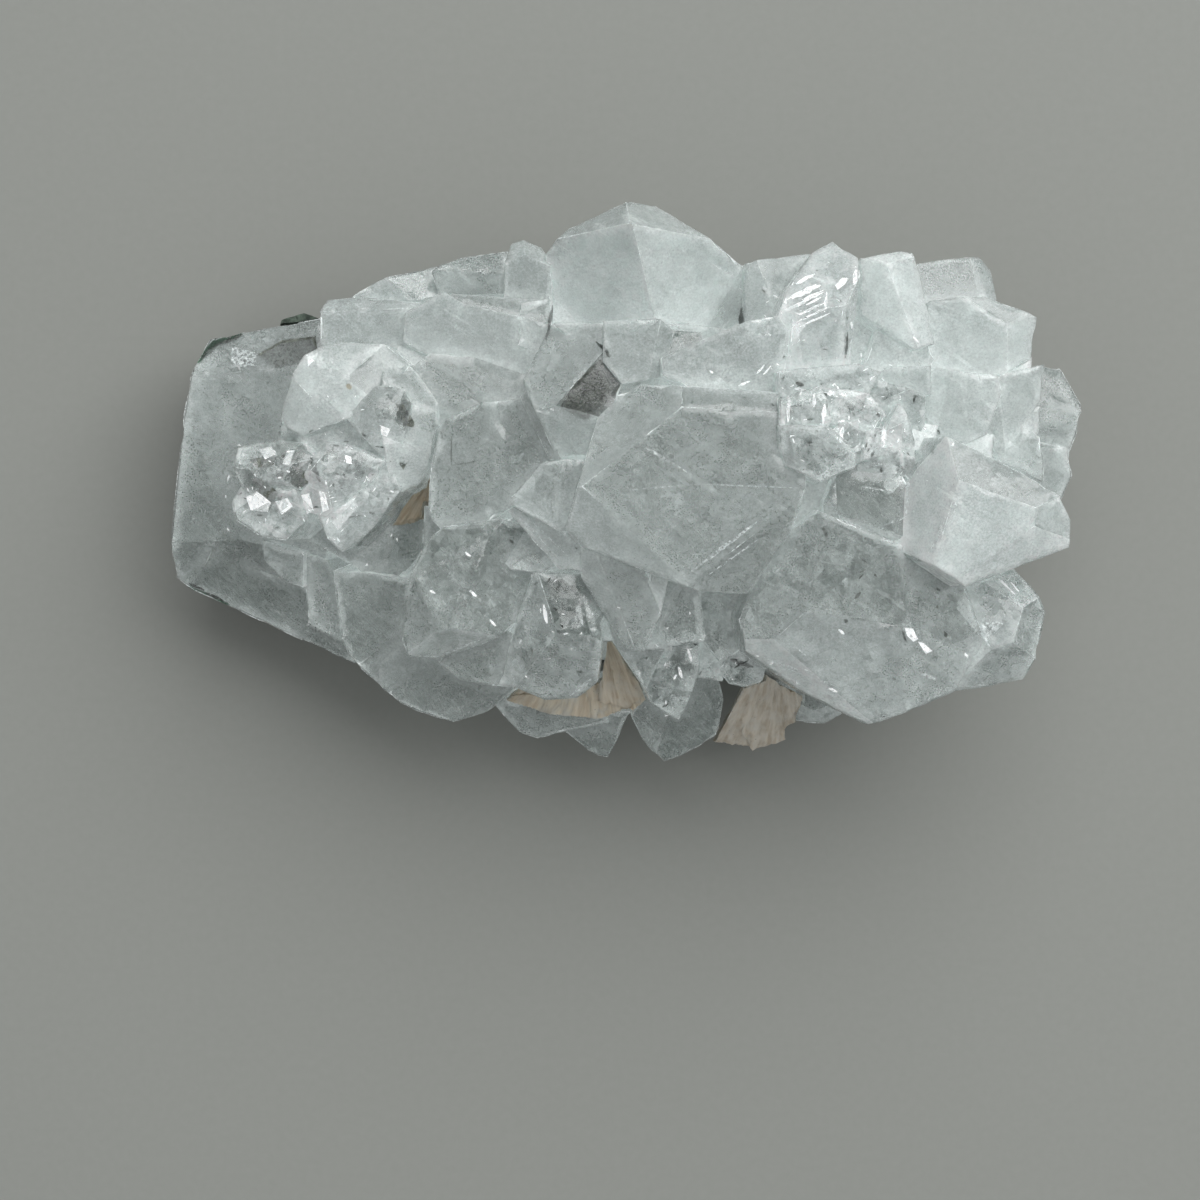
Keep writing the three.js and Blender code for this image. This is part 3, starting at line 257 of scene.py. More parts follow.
class Value:
    """An output socket of a material, for use in Python arithmetic."""

    def __init__(self, finish, socket):
        self.finish = finish
        self.socket = socket

    def math(self, operation, *others, clamp=False):
        settings = {"operation": operation, "use_clamp": clamp}
        return self.finish.node("Math", settings, dict(enumerate((self, *others))))

    def __add__(self, other):
        return self.math("ADD", other)

    __radd__ = __add__

    def __mul__(self, other):
        return self.math("MULTIPLY", other)

    __rmul__ = __mul__

    def __sub__(self, other):
        return self.math("SUBTRACT", other)

    def __rsub__(self, other):
        return (self * -1) + other

    def __pow__(self, power):
        return self.math("POWER", power)

    def higher(self, other):
        return self.math("MAXIMUM", other)

    def clamped(self):
        """Kept between 0 and 1."""
        return self.math("ADD", 0.0, clamp=True)

    def fit(self, low, high, out_low=0.0, out_high=1.0):
        """A smooth step from out_low at low to out_high at high."""
        inputs = {"Value": self, "From Min": low, "From Max": high,
                  "To Min": out_low, "To Max": out_high}
        return self.finish.node("MapRange", {"interpolation_type": "SMOOTHSTEP"}, inputs)


class Finish:
    """One material, and the one way that its nodes are added."""

    def __init__(self, name):
        self.material = bpy.data.materials.new(name)
        self.material.use_nodes = True
        self.material.cycles.emission_sampling = "NONE"
        self.tree = self.material.node_tree
        self.tree.nodes.clear()
        # position in millimetres, in the frame of the whole cluster
        place = self.node("TexCoord", output="Object")
        self.place = self.scale(place, 1 / MM)
        xyz = self.node("SeparateXYZ", inputs={"Vector": self.place})
        self.x, self.y, self.z = (self.of(xyz, axis) for axis in "XYZ")

    def node(self, kind, settings=None, inputs=None, output=0):
        made = self.tree.nodes.new("ShaderNode" + kind)
        for key, value in (settings or {}).items():
            setattr(made, key, value)
        for key, value in (inputs or {}).items():
            if isinstance(value, Value):
                self.tree.links.new(value.socket, made.inputs[key])
            else:
                made.inputs[key].default_value = value
        return Value(self, made.outputs[output])

    def of(self, value, output):
        """Another output of the node that a value comes from."""
        return Value(self, value.socket.node.outputs[output])

    def scale(self, vector, amount):
        """A vector times a number."""
        return self.node("VectorMath", {"operation": "SCALE"}, {"Vector": vector, "Scale": amount})

    def stretch(self, vector, amounts):
        """A vector times another, axis by axis."""
        return self.node("VectorMath", {"operation": "MULTIPLY"}, {0: vector, 1: amounts})

    def turn(self, vector, axis, degrees):
        inputs = {"Vector": vector, "Axis": axis, "Angle": math.radians(degrees)}
        return self.node("VectorRotate", inputs=inputs)

    def noise(self, size, detail=3.0, roughness=0.55, vector=None, distortion=0.0):
        """Cloudy noise from 0 to 1, with lumps of a size in millimetres."""
        inputs = {"Vector": vector or self.place, "Scale": 1 / size, "Detail": detail,
                  "Roughness": roughness, "Distortion": distortion}
        return self.node("TexNoise", inputs=inputs)

    def cells(self, size, feature="F1", output="Distance", vector=None):
        """Voronoi cells of a size in millimetres."""
        inputs = {"Vector": vector or self.place, "Scale": 1 / size}
        return self.node("TexVoronoi", {"feature": feature}, inputs, output)

    def tilted_cells(self, size):
        """A height made of flat little planes, each cell of a size tilted its own way."""
        cell = self.cells(size, output="Position")
        tilt = self.node("VectorMath", {"operation": "SUBTRACT"},
                         {0: self.cells(size, output="Color"), 1: (0.5, 0.5, 0.5)})
        scaled = self.scale(self.place, 1 / size)
        offset = self.node("VectorMath", {"operation": "SUBTRACT"}, {0: scaled, 1: cell})
        slope = self.node("VectorMath", {"operation": "DOT_PRODUCT"}, {0: tilt, 1: offset})
        return self.of(slope, "Value")

    def strokes(self, marks):
        """A mask of soft straight marks, each (x, y, x, y, width) in millimetres."""
        mask = None
        for x1, y1, x2, y2, width in marks:
            run_x, run_y = x2 - x1, y2 - y1
            square = max(run_x ** 2 + run_y ** 2, STROKE_LEAST)
            from_x, from_y = self.x - x1, self.y - y1
            along = ((from_x * run_x + from_y * run_y) * (1 / square)).clamped()
            off_x, off_y = from_x - along * run_x, from_y - along * run_y
            off = (off_x * off_x + off_y * off_y) ** 0.5
            mark = off.fit(width * 0.6, width * 0.25)
            mask = mark if mask is None else mask.higher(mark)
        return mask

    def attribute(self, name):
        return self.node("Attribute", {"attribute_name": name}, output="Fac")

    def colour(self, factor, first, second):
        """Mixes two colours; each is an (r, g, b) or a value."""
        inputs = {MIX_FACTOR: factor, MIX_FIRST: opaque(first), MIX_SECOND: opaque(second)}
        return self.node("Mix", {"data_type": "RGBA"}, inputs, MIX_COLOUR)

    def tint(self, colour, amount):
        """A colour's value times a number."""
        return self.scale(colour, amount)

    def bump(self, height, depth, normal=None):
        """A normal from a height in millimetres."""
        inputs = {"Height": height, "Distance": depth * MM}
        if normal:
            inputs["Normal"] = normal
        return self.node("Bump", inputs=inputs)

    def surface(self, **inputs):
        """A Principled shader; an underscore in a name stands for a space."""
        named = {key.replace("_", " "): value for key, value in inputs.items()}
        return self.node("BsdfPrincipled", inputs=named)

    def show(self, shader, volume=None):
        end = self.tree.nodes.new("ShaderNodeOutputMaterial")
        self.tree.links.new(shader.socket, end.inputs["Surface"])
        if volume:
            self.tree.links.new(volume.socket, end.inputs["Volume"])
        return self.material


def opaque(colour):
    """An (r, g, b) with full alpha; a value passes through."""
    if isinstance(colour, Value):
        return colour
    return (*colour[:3], 1.0)


# ---------------------------------------------------------------- marks, x and y in millimetres
# Splinters are (x, y, x, y, width); patches are rings of corners. All lie at the surface.
# pale streaks
STREAKS = [(0.8, 4.6, 6.9, 1.0, 0.45), (6.8, -9.2, 14.4, -3.5, 0.55), (8.6, -9.6, 14.2, -5.6, 0.30),
           (-0.5, -0.7, 8.0, 0.0, 0.22), (8.0, 0.0, 18.2, -0.4, 0.20),
           (-12.4, -2.0, -7.0, -7.7, 0.50), (-11.4, -2.2, -6.0, -7.4, 0.30),
           (3.8, -8.4, 6.0, -13.2, 0.55), (9.6, 23.9, 11.8, 23.0, 0.30),
           (25.0, -0.2, 28.4, -0.8, 0.25), (32.3, -5.8, 34.6, -1.5, 0.80),
           (31.6, -7.2, 33.0, -5.0, 0.60), (14.9, -18.2, 22.6, -21.3, 0.60),
           (-12.2, -20.1, -10.6, -21.7, 0.60), (-5.8, -22.5, -3.1, -20.4, 0.60),
           (-22.2, -18.2, -20.1, -18.2, 0.45), (-20.1, -18.2, -15.5, -16.4, 0.40),
           (24.4, 20.4, 24.7, 17.5, 0.45), (25.1, 17.1, 25.2, 15.5, 0.25),
           (31.1, -19.7, 33.3, -20.6, 0.50), (33.9, -18.3, 34.0, -19.4, 0.30)]
# corners of the pale rim of the grey six-sided crystal
HEXAGON_RIM = [(21.9, 1.2), (23.5, 2.3), (28.4, 2.1), (29.9, 0.6), (29.5, -3.4), (26.0, -4.9),
               (22.6, -3.7), (21.6, -1.1)]
RIM_WIDTH = 0.5
FROST_PATCHES = [[(16.4, 17.6), (16.3, 19.4), (17.6, 20.6), (18.6, 20.4), (17.8, 18.4)],
                 [(18.2, 18.2), (18.8, 19.9), (20.4, 20.9), (20.9, 19.6), (19.4, 18.0)],
                 [(-43.6, 16.2), (-40.9, 15.4), (-40.6, 13.9), (-43.6, 13.8)],
                 [(18.4, -17.2), (19.2, -17.8), (19.9, -19.8), (18.9, -19.4)],
                 [(38.2, -13.9), (40.2, -14.6), (40.6, -17.6), (38.8, -17.2), (37.4, -15.6)]]
# painted glints: very bright white patches that stand for light the crystals reflect
GLINTS = [(17.0, 6.4, 17.1, 9.3, 0.6), (20.6, 6.2, 20.7, 8.2, 0.6), (22.4, 4.2, 22.8, 6.0, 0.7),
          (27.0, 3.8, 27.3, 6.2, 0.9), (19.6, 7.9, 19.7, 9.4, 0.5), (21.2, 9.5, 22.0, 9.5, 0.6),
          (22.4, 9.4, 23.1, 9.3, 0.4), (17.8, 10.0, 18.9, 9.9, 0.4), (16.8, 22.3, 19.9, 24.7, 0.7),
          (18.1, 21.2, 20.1, 22.3, 0.6), (16.3, 17.5, 17.0, 19.6, 0.7), (17.6, 19.6, 20.6, 21.0, 0.7),
          (18.6, 19.4, 20.9, 20.4, 0.3), (20.9, 18.0, 21.2, 20.2, 0.35), (24.0, 20.9, 24.4, 22.6, 0.6),
          (19.0, 18.8, 20.6, 19.6, 0.3), (22.3, 20.8, 23.4, 21.7, 0.5), (16.0, 17.8, 20.9, 20.2, 0.5),
          (16.6, 19.3, 20.2, 21.1, 0.5),
          (17.9, 17.6, 21.0, 19.0, 0.35), (18.0, 17.0, 21.3, 18.5, 0.35), (18.3, 16.5, 21.5, 17.9, 0.3),
          (23.8, 17.1, 23.9, 16.4, 0.4), (24.1, 14.9, 24.4, 14.2, 0.4), (30.6, 15.8, 31.2, 15.2, 0.4),
          (13.9, 11.7, 14.7, 12.6, 0.3), (14.6, 11.6, 15.4, 12.5, 0.3), (12.0, 10.4, 13.2, 10.9, 0.35),
          (8.9, 12.0, 9.3, 11.7, 0.3), (22.6, -15.2, 23.2, -15.7, 0.4), (21.8, -21.5, 22.7, -21.9, 0.4),
          (36.2, -17.7, 36.5, -18.2, 0.4), (39.9, -9.9, 41.0, -10.9, 0.35),
          (40.6, -10.6, 41.6, -11.5, 0.3), (41.2, -10.2, 42.0, -11.2, 0.25),
          (-17.0, -7.0, -16.4, -7.4, 0.4), (-16.5, -11.1, -15.8, -11.7, 0.5),
          (-14.4, -14.2, -13.8, -14.9, 0.4), (-20.8, -11.1, -20.2, -11.4, 0.4),
          (-8.6, -12.6, -8.2, -14.6, 0.6), (6.0, -19.4, 6.4, -20.6, 0.5), (7.0, -17.4, 7.4, -18.8, 0.4)]
GLINT_PATCHES = [[(-39.2, 4.1), (-37.9, 4.4), (-37.4, 3.5), (-38.5, 3.0)],
                 [(-36.2, 3.9), (-35.4, 4.0), (-35.9, 2.4), (-36.6, 2.5)],
                 [(-30.0, 3.5), (-29.3, 3.3), (-29.2, 2.5), (-29.8, 2.6)],
                 [(-40.8, -1.0), (-39.5, -0.4), (-38.0, -1.6), (-38.4, -2.6), (-40.3, -2.4)],
                 [(-37.5, -1.5), (-36.2, -1.1), (-35.7, -2.0), (-36.9, -2.9)],
                 [(-34.8, -0.8), (-33.9, -0.6), (-33.5, -2.4), (-34.3, -2.8)],
                 [(-32.8, -0.4), (-32.2, -0.5), (-31.8, -2.3), (-32.5, -2.6)],
                 [(-31.5, -3.7), (-29.2, -1.2), (-28.7, -2.0), (-30.9, -4.5)],
                 [(-25.1, 0.1), (-24.0, 0.3), (-23.7, -0.8), (-24.7, -0.9)],
                 [(-26.1, 6.6), (-25.0, 6.2), (-25.4, 5.4), (-26.0, 5.6)],
                 [(-34.1, 14.2), (-33.5, 14.6), (-33.3, 13.6), (-33.9, 13.0)],
                 [(24.2, 23.3), (24.9, 22.2), (24.6, 21.1), (23.9, 21.5)],
                 [(22.1, 20.9), (22.9, 21.8), (23.5, 21.6), (23.1, 21.0), (22.3, 20.4)],
                 [(17.6, 17.3), (19.3, 16.9), (18.3, 15.9), (17.5, 15.0)],
                 [(17.6, 14.6), (18.9, 16.6), (18.2, 16.9)],
                 [(29.5, -15.0), (30.4, -15.1), (31.0, -16.2), (30.5, -16.5), (29.8, -15.9)],
                 [(31.0, -16.5), (31.6, -16.6), (32.6, -17.5), (31.9, -17.8)]]
# dark flaws and specks of other minerals
FLAWS = [(-1.9, 14.2, -1.5, 13.6, 0.5), (-8.3, 15.6, -7.7, 20.0, 0.4), (-12.3, -5.6, -11.9, -6.0, 0.3),
         (-8.4, -7.3, -8.2, -7.3, 0.3), (12.8, 19.6, 12.8, 17.4, 0.6), (12.6, 17.6, 9.2, 15.9, 0.3),
         (23.4, 16.0, 23.2, 13.3, 0.45), (17.9, 10.6, 18.8, 10.4, 0.6),
         (20.8, -4.5, 21.2, -5.5, 0.6), (24.9, -7.8, 25.3, -8.3, 0.4), (24.7, -9.2, 25.3, -8.9, 0.25),
         (24.6, -9.9, 25.1, -9.4, 0.25), (24.2, -12.0, 24.8, -11.3, 0.35),
         (23.1, -14.1, 23.5, -14.5, 0.45), (33.8, -15.4, 34.1, -16.0, 0.5),
         (26.2, -9.4, 26.5, -9.6, 0.3), (32.9, -12.6, 33.0, -13.0, 0.3),
         (29.3, -15.4, 29.7, -16.4, 0.35),
         (32.9, -10.8, 33.3, -11.2, 0.3), (28.4, -20.4, 28.8, -20.6, 0.3),
         (11.7, -18.6, 14.2, -19.4, 0.8), (12.2, -19.5, 13.6, -18.7, 0.4),
         (-33.7, 3.3, -32.6, 0.6, 0.6), (-26.7, 4.4, -25.4, 4.2, 0.2), (-29.7, -3.2, -28.3, -2.9, 0.2),
         (-5.2, -6.5, -5.0, -6.7, 0.25), (-0.4, -8.1, -0.2, -8.1, 0.3), (17.0, 4.6, 17.1, 4.6, 0.3),
         (-18.6, 5.7, -18.6, 2.4, 0.16), (-18.6, 2.4, -15.7, 2.9, 0.16), (-20.7, 6.7, -20.4, 6.6, 0.3),
         (-11.6, 8.7, -11.4, 8.5, 0.3), (-3.0, 15.4, -1.6, 13.9, 0.4),
         (-47.0, 14.8, -45.2, 16.4, 0.7), (-45.2, 16.4, -42.4, 17.5, 0.6),
         (-48.8, -10.2, -47.0, -11.0, 0.5), (-46.9, -11.3, -44.9, -12.2, 0.5)]
# smoky areas
SMOKY_PATCHES = [[(-2.6, 13.4), (-5.4, 10.7), (-6.8, 8.3), (-4.2, 7.0), (-2.6, 7.5), (-0.4, 10.7)],
                 [(-40.3, 3.0), (-39.2, 3.2), (-38.0, 2.9), (-37.4, 3.2), (-37.6, 2.4), (-39.2, 2.1)],
                 [(-35.9, 1.6), (-34.6, 2.4), (-33.9, 0.6), (-34.7, -0.1), (-35.6, 0.3)],
                 [(-40.2, 0.4), (-39.0, 1.0), (-37.3, -0.4), (-36.9, -1.3), (-38.4, -1.1)],
                 [(-24.4, 8.9), (-23.6, 8.8), (-22.5, 7.0), (-22.6, 6.4), (-23.6, 6.6)],
                 [(-24.2, 2.7), (-23.4, 2.7), (-23.8, 1.9)],
                 [(-40.6, 15.2), (-38.0, 16.8), (-34.2, 17.2), (-33.8, 15.0), (-38.5, 13.8)]]
# where the rock's green skin shows through the crystals' corners
GREEN_RIM = [(-47.4, 14.6, -45.6, 16.6, 0.9), (-45.6, 16.6, -42.8, 17.6, 0.8),
             (-49.2, -10.6, -46.8, -11.6, 0.7), (-45.9, -12.1, -44.6, -12.6, 0.6)]
# deep, light and dusty tints of each stilbite fan
STILBITE_TINTS = {"west": ((0.25, 0.20, 0.135), (0.40, 0.345, 0.26), (0.31, 0.28, 0.22)),
                  "south": ((0.35, 0.29, 0.215), (0.50, 0.445, 0.355), (0.46, 0.435, 0.375)),
                  "southeast": ((0.34, 0.295, 0.235), (0.48, 0.445, 0.385), (0.45, 0.43, 0.385))}
# a speck of ochre
OCHRE = [(-29.5, 10.8, -29.4, 10.7, 0.6)]

# ---------------------------------------------------------------- materials
APOPHYLLITE_IOR = 1.535
MILK_SHARE = 0.34           # how much of the facets' milkiness is in their surface
CREASE_PAINTED_LIGHT = 0.12         # how much paler the crystals are painted where they meet: painted light in their creases, standing for light passed through the crystals
GLINT_LIGHT = 0.28          # emission of the bright glints, which stands for light they throw back
SEAM_LIGHT = 0.16           # emission of hidden places, which stands for light the crystals pass on
MILK_DEPTH = 2.5            # how far light spreads in it, in millimetres
ABSORPTION = (0.62, 0.80, 0.74, 1)
ABSORPTION_DENSITY = 8.0
WISP_STRETCH = (0.18, 1.2, 0.5)     # wisps and growth lines are noise drawn out along one way,
WISP_TURN = 32                      # turned by so many degrees
LINES_STRETCH = (0.06, 1.0, 1.0)
LINES_TURN = -20
STREAK_STRETCH = (0.25, 1.3, 0.7)
STREAK_TURN = 48
# sizes of the patterns, in millimetres: in the facets
CLOUD_SIZE = 6.0
VEIL_SIZE = 1.1
WISP_SIZE = 1.5
GRAIN_SIZE = 0.24
CHIP_SIZE = 0.75
SPECK_SPACING = 1.6
SPECK_EDGES = (0.075, 0.050)        # where a speck fades, as shares of the spacing
LINES_SIZE = 0.45
PIT_SIZE = 0.30
PIT_DEPTH = 0.035
# and in the milky insides
CORE_CLOUD_SIZE = 3.2
CORE_STREAK_SIZE = 0.9
CORE_PLANE_SIZE = 1.6
CORE_FLAW_SPACING = 1.9
CORE_GRAIN_SIZE = 0.45
CORE_CRACK_SIZE = 3.4
CORE_CRACK_STRETCH = (0.7, 1.0, 1.3)
# in the fracture veils and the small plates
VEIL_WISP_SIZE = 1.0
VEIL_WISP_STRETCH = (1.0, 0.5, 1.0)
VEIL_PATCH_SIZE = 2.6
MOTTLE_SIZE = 0.45
MOTTLE_DEPTH = 0.12
RAGGED_SIZE = 0.35
# in the rock, the stilbite and the floor
ROCK_GRAIN_SIZE = 0.8
ROCK_PATCH_SIZE = 6.0
ROCK_PIT_SIZE = 0.25
ROCK_PIT_DEPTH = 0.35
BLADE_SIZE = 0.6
BLADE_DEPTH = 0.12
BLADE_PATCH_SIZE = 1.8
BLADE_SPECK_SPACING = 0.8
PEARL_DEPTH = 0.8           # how far light spreads in stilbite
FLOOR_GRAIN_SIZE = 0.9
# the small plates: dark and light colours, roughness, how solid they are, and emission
PLATE_LOOKS = {
    "pale_streaks": ((0.62, 0.68, 0.68), (0.90, 0.95, 0.95), 0.3, 0.55, 0.0),
    # painted glints, given emission for more light
    "bright_glints": ((0.80, 0.85, 0.87), (1.0, 1.0, 1.0), 0.12, 0.90, GLINT_LIGHT),
    "dark_flaws": ((0.010, 0.014, 0.011), (0.14, 0.15, 0.14), 0.3, 0.75, 0.0),
    "smoky_windows": ((0.050, 0.056, 0.044), (0.20, 0.215, 0.185), 0.15, 0.85, 0.0),
    # bright arrises: painted highlights on worn edges, and their whitening by wear
    "bright_arrises": ((0.66, 0.72, 0.71), (0.95, 1.0, 1.0), 0.2, 0.7, 0.0)}


def crystal_finish():
    """Apophyllite: clear to milky, with wisps, pale arrises, growth lines and glitter; its arrises,
    glitter, creases and hidden places get painted highlights, shade and light.
    """
    f = Finish("apophyllite")
    pale = f.attribute("pale")
    milky = f.attribute("milky")
    arris = f.attribute("arris")
    crease = f.attribute("crease")
    glitter = f.attribute("glitter")

    cloud = f.noise(CLOUD_SIZE, detail=3, roughness=0.5, distortion=0.3)
    veil = f.noise(VEIL_SIZE, detail=5, roughness=0.7)
    wisp_place = f.stretch(f.turn(f.place, UP, WISP_TURN), WISP_STRETCH)
    wisp = f.noise(WISP_SIZE, detail=5, roughness=0.65, vector=wisp_place).fit(0.58, 0.75)
    # paler along the arrises: partly the whitening of their wear, partly painted highlights
    line = arris.fit(0.22, 0.04) * veil.fit(0.30, 0.62)
    rim = arris.fit(1.3, 0.0)

    grain = f.noise(GRAIN_SIZE, detail=3, roughness=0.75)
    # small flat planes in the glittery crystals' skin, each tilted its own way
    chips = f.tilted_cells(CHIP_SIZE)
    # painted glints and shade: cells of the glittery crystals are painted brighter or darker, like
    # little planes that catch or miss the light
    flash = f.cells(CHIP_SIZE, output="Color")
    flash = f.node("SeparateColor", inputs={"Color": flash})
    painted_glint = flash.fit(0.72, 0.95) * glitter
    painted_shade = f.of(flash, "Green").fit(0.80, 0.95) * glitter

    tone = pale + (cloud - 0.5) * 0.14 + (veil - 0.5) * 0.50 + (grain - 0.5) * 0.75 + wisp * 0.12
    tone = tone + line * 0.05 + rim * 0.05 + painted_glint * 0.30 - painted_shade * 0.22
    speck = f.cells(SPECK_SPACING).fit(*SPECK_EDGES)
    # painted light: paler where crystals meet, in place of the shade of their creases
    tone = tone + crease.fit(2.4, 0.0) * CREASE_PAINTED_LIGHT
    tone = (tone * (1 - speck * 0.7)).clamped()

    smoky = (0.045, 0.068, 0.057)
    white = (0.91, 0.965, 0.955)
    colour = f.colour(tone, smoky, white)
    green = f.strokes(GREEN_RIM) * veil.fit(0.36, 0.48)
    colour = f.colour(green, colour, (0.015, 0.035, 0.022))
    colour = f.colour(f.strokes(OCHRE) * 0.8, colour, (0.42, 0.30, 0.12))

    lines_place = f.stretch(f.turn(f.place, UP, LINES_TURN), LINES_STRETCH)
    lines = f.noise(LINES_SIZE, detail=3, vector=lines_place)
    pits = f.noise(PIT_SIZE, detail=3, roughness=0.6)
    normal = f.bump(lines * 0.5 + pits * 0.5, PIT_DEPTH)
    normal = f.bump(chips * glitter, 0.30, normal)
    gloss = veil.fit(0.35, 0.7, 0.08, 0.24)

    # painted light: the crystals glow where other crystals hide them from the light above, standing for
    # light they pass on
    glow = f.tint(colour, f.attribute("hidden") * SEAM_LIGHT)
    milk = f.surface(Base_Color=colour, Roughness=gloss + 0.10, IOR=APOPHYLLITE_IOR, Normal=normal,
                     Emission_Color=glow, Emission_Strength=1.0,
                     Subsurface_Weight=1.0, Subsurface_Radius=(0.9, 1.0, 0.97),
                     Subsurface_Scale=MILK_DEPTH * MM)
    clear = f.surface(Base_Color=(0.94, 0.98, 0.965, 1), Roughness=gloss * 0.35,
                      IOR=APOPHYLLITE_IOR, Transmission_Weight=1.0, Normal=normal)
    share = milky * MILK_SHARE + green + speck * 0.8 + (cloud - 0.5) * 0.5 + wisp * 0.20
    # milkier where crystals meet too, which makes the creases paler
    share = share + (grain - 0.5) * 0.35 + line * 0.10 + crease.fit(1.2, 0.0) * 0.2
    both = f.node("MixShader", inputs={0: share.clamped(), 1: clear, 2: milk})
    volume = f.node("VolumeAbsorption",
                    inputs={"Color": ABSORPTION, "Density": ABSORPTION_DENSITY})
    return f.show(both, volume)


def cloud_finish():
    """The milky insides: streaked clouds, grey hollows and little dark flaws."""
    f = Finish("milky_insides")
    pale = f.attribute("pale")
    glitter = f.attribute("glitter")
    cloud = f.noise(CORE_CLOUD_SIZE, detail=4, roughness=0.6, distortion=0.5)
    streak_place = f.stretch(f.turn(f.place, UP, STREAK_TURN), STREAK_STRETCH)
    streak = f.noise(CORE_STREAK_SIZE, detail=5, roughness=0.7, vector=streak_place, distortion=0.6)
    cell_colour = f.cells(CORE_PLANE_SIZE, output="Color")
    planes = f.node("SeparateColor", inputs={"Color": cell_colour})
    flaw = f.cells(CORE_FLAW_SPACING).fit(0.12, 0.06)
    grain = f.noise(CORE_GRAIN_SIZE, detail=4, roughness=0.75)
    crack_place = f.stretch(f.place, CORE_CRACK_STRETCH)
    crack = f.cells(CORE_CRACK_SIZE, feature="DISTANCE_TO_EDGE", vector=crack_place)
    lively = glitter * 0.6 + 0.3
    tone = pale * 1.1 + 0.10 + (cloud - 0.5) * 0.4 + (streak - 0.5) * lively + (grain - 0.5) * lively
    tone = tone + crack.fit(0.035, 0.01) * cloud.fit(0.45, 0.6) * lively * 0.7
    tone = tone + (planes - 0.5) * (glitter * 0.7 + 0.12) - flaw * lively * 0.8
    # painted light: paler where crystals meet, in place of the shade of their creases
    tone = tone + f.attribute("crease").fit(3.0, 0.0) * CREASE_PAINTED_LIGHT
    tone = tone.clamped()
    colour = f.colour(tone, (0.10, 0.135, 0.12), (0.95, 0.99, 0.985))
    tilted = f.bump(f.tilted_cells(CORE_PLANE_SIZE), 0.8)
    normal = f.bump(streak, 0.5, tilted)
    # painted light: the insides glow where other crystals hide them from the light above, standing for
    # light they pass on
    glow = f.tint(colour, f.attribute("hidden") * SEAM_LIGHT)
    return f.show(f.surface(Base_Color=colour, Roughness=0.35, IOR=APOPHYLLITE_IOR, Normal=normal,
                            Emission_Color=glow, Emission_Strength=1.0))


def rock_finish():
    """Basalt under a dull dark green skin of celadonite."""
    f = Finish("green_rock")
    grain = f.noise(ROCK_GRAIN_SIZE, detail=6, roughness=0.7)
    patch = f.noise(ROCK_PATCH_SIZE, detail=4)
    skin = f.colour(grain.fit(0.35, 0.7), (0.018, 0.026, 0.020), (0.075, 0.105, 0.080))
    stone = f.colour(grain.fit(0.3, 0.75), (0.030, 0.030, 0.028), (0.105, 0.103, 0.095))
    colour = f.colour(patch.fit(0.45, 0.6), skin, stone)
    normal = f.bump(grain * 0.6 + f.noise(ROCK_PIT_SIZE, detail=4) * 0.4, ROCK_PIT_DEPTH)
    dull = grain.fit(0.3, 0.7, 0.95, 0.7)
    return f.show(f.surface(Base_Color=colour, Roughness=dull, Normal=normal))


def stilbite_finish(side, pole):
    """Stilbite: pearly brown blades that spread from a pole, paler along some of them."""
    f = Finish(f"stilbite_{side}")
    angle = (f.y - pole[1]).math("ARCTAN2", f.x - pole[0])
    off_x, off_y = f.x - pole[0], f.y - pole[1]
    away = (off_x * off_x + off_y * off_y) ** 0.5
    spread = f.node("CombineXYZ", inputs={"X": angle * BLADES, "Y": away * 0.15, "Z": f.z * 0.2})
    blade = f.noise(BLADE_SIZE, detail=4, roughness=0.6, vector=spread)
    patch = f.noise(BLADE_PATCH_SIZE, detail=4)
    speck = f.cells(BLADE_SPECK_SPACING).fit(0.14, 0.06) * patch.fit(0.4, 0.6)
    deep, light, dust = STILBITE_TINTS[side]
    colour = f.colour(blade.fit(0.35, 0.65), deep, light)
    colour = f.colour(patch.fit(0.42, 0.68) * 0.7, colour, dust)
    colour = f.colour(speck * 0.6, colour, (0.09, 0.07, 0.05))
    normal = f.bump(blade, BLADE_DEPTH)
    return f.show(f.surface(Base_Color=colour, Roughness=blade.fit(0.3, 0.7, 0.55, 0.32),
                            Normal=normal, IOR=1.5, Subsurface_Weight=0.5,
                            Subsurface_Radius=(1.0, 0.8, 0.6),
                            Subsurface_Scale=PEARL_DEPTH * MM))


def floor_finish():
    f = Finish("floor")
    grain = f.noise(FLOOR_GRAIN_SIZE, detail=4)
    colour = f.colour(grain, (0.194, 0.200, 0.185), (0.214, 0.220, 0.205))
    return f.show(f.surface(Base_Color=colour, Roughness=0.9))


# ---------------------------------------------------------------- meshes
def facets_of(bm):
    """Numbers the flat facets: a list with the facet of each face."""
    facet = [-1] * len(bm.faces)
    count = 0
    for start in bm.faces:
        if facet[start.index] >= 0:
            continue
        facet[start.index] = count
        queue = [start]
        while queue:
            face = queue.pop()
            for edge in face.edges:
                for near in edge.link_faces:
                    if facet[near.index] < 0 and near.normal.angle(face.normal, 0) < FLAT_ANGLE:
                        facet[near.index] = count
                        queue.append(near)
        count += 1
    return facet, count


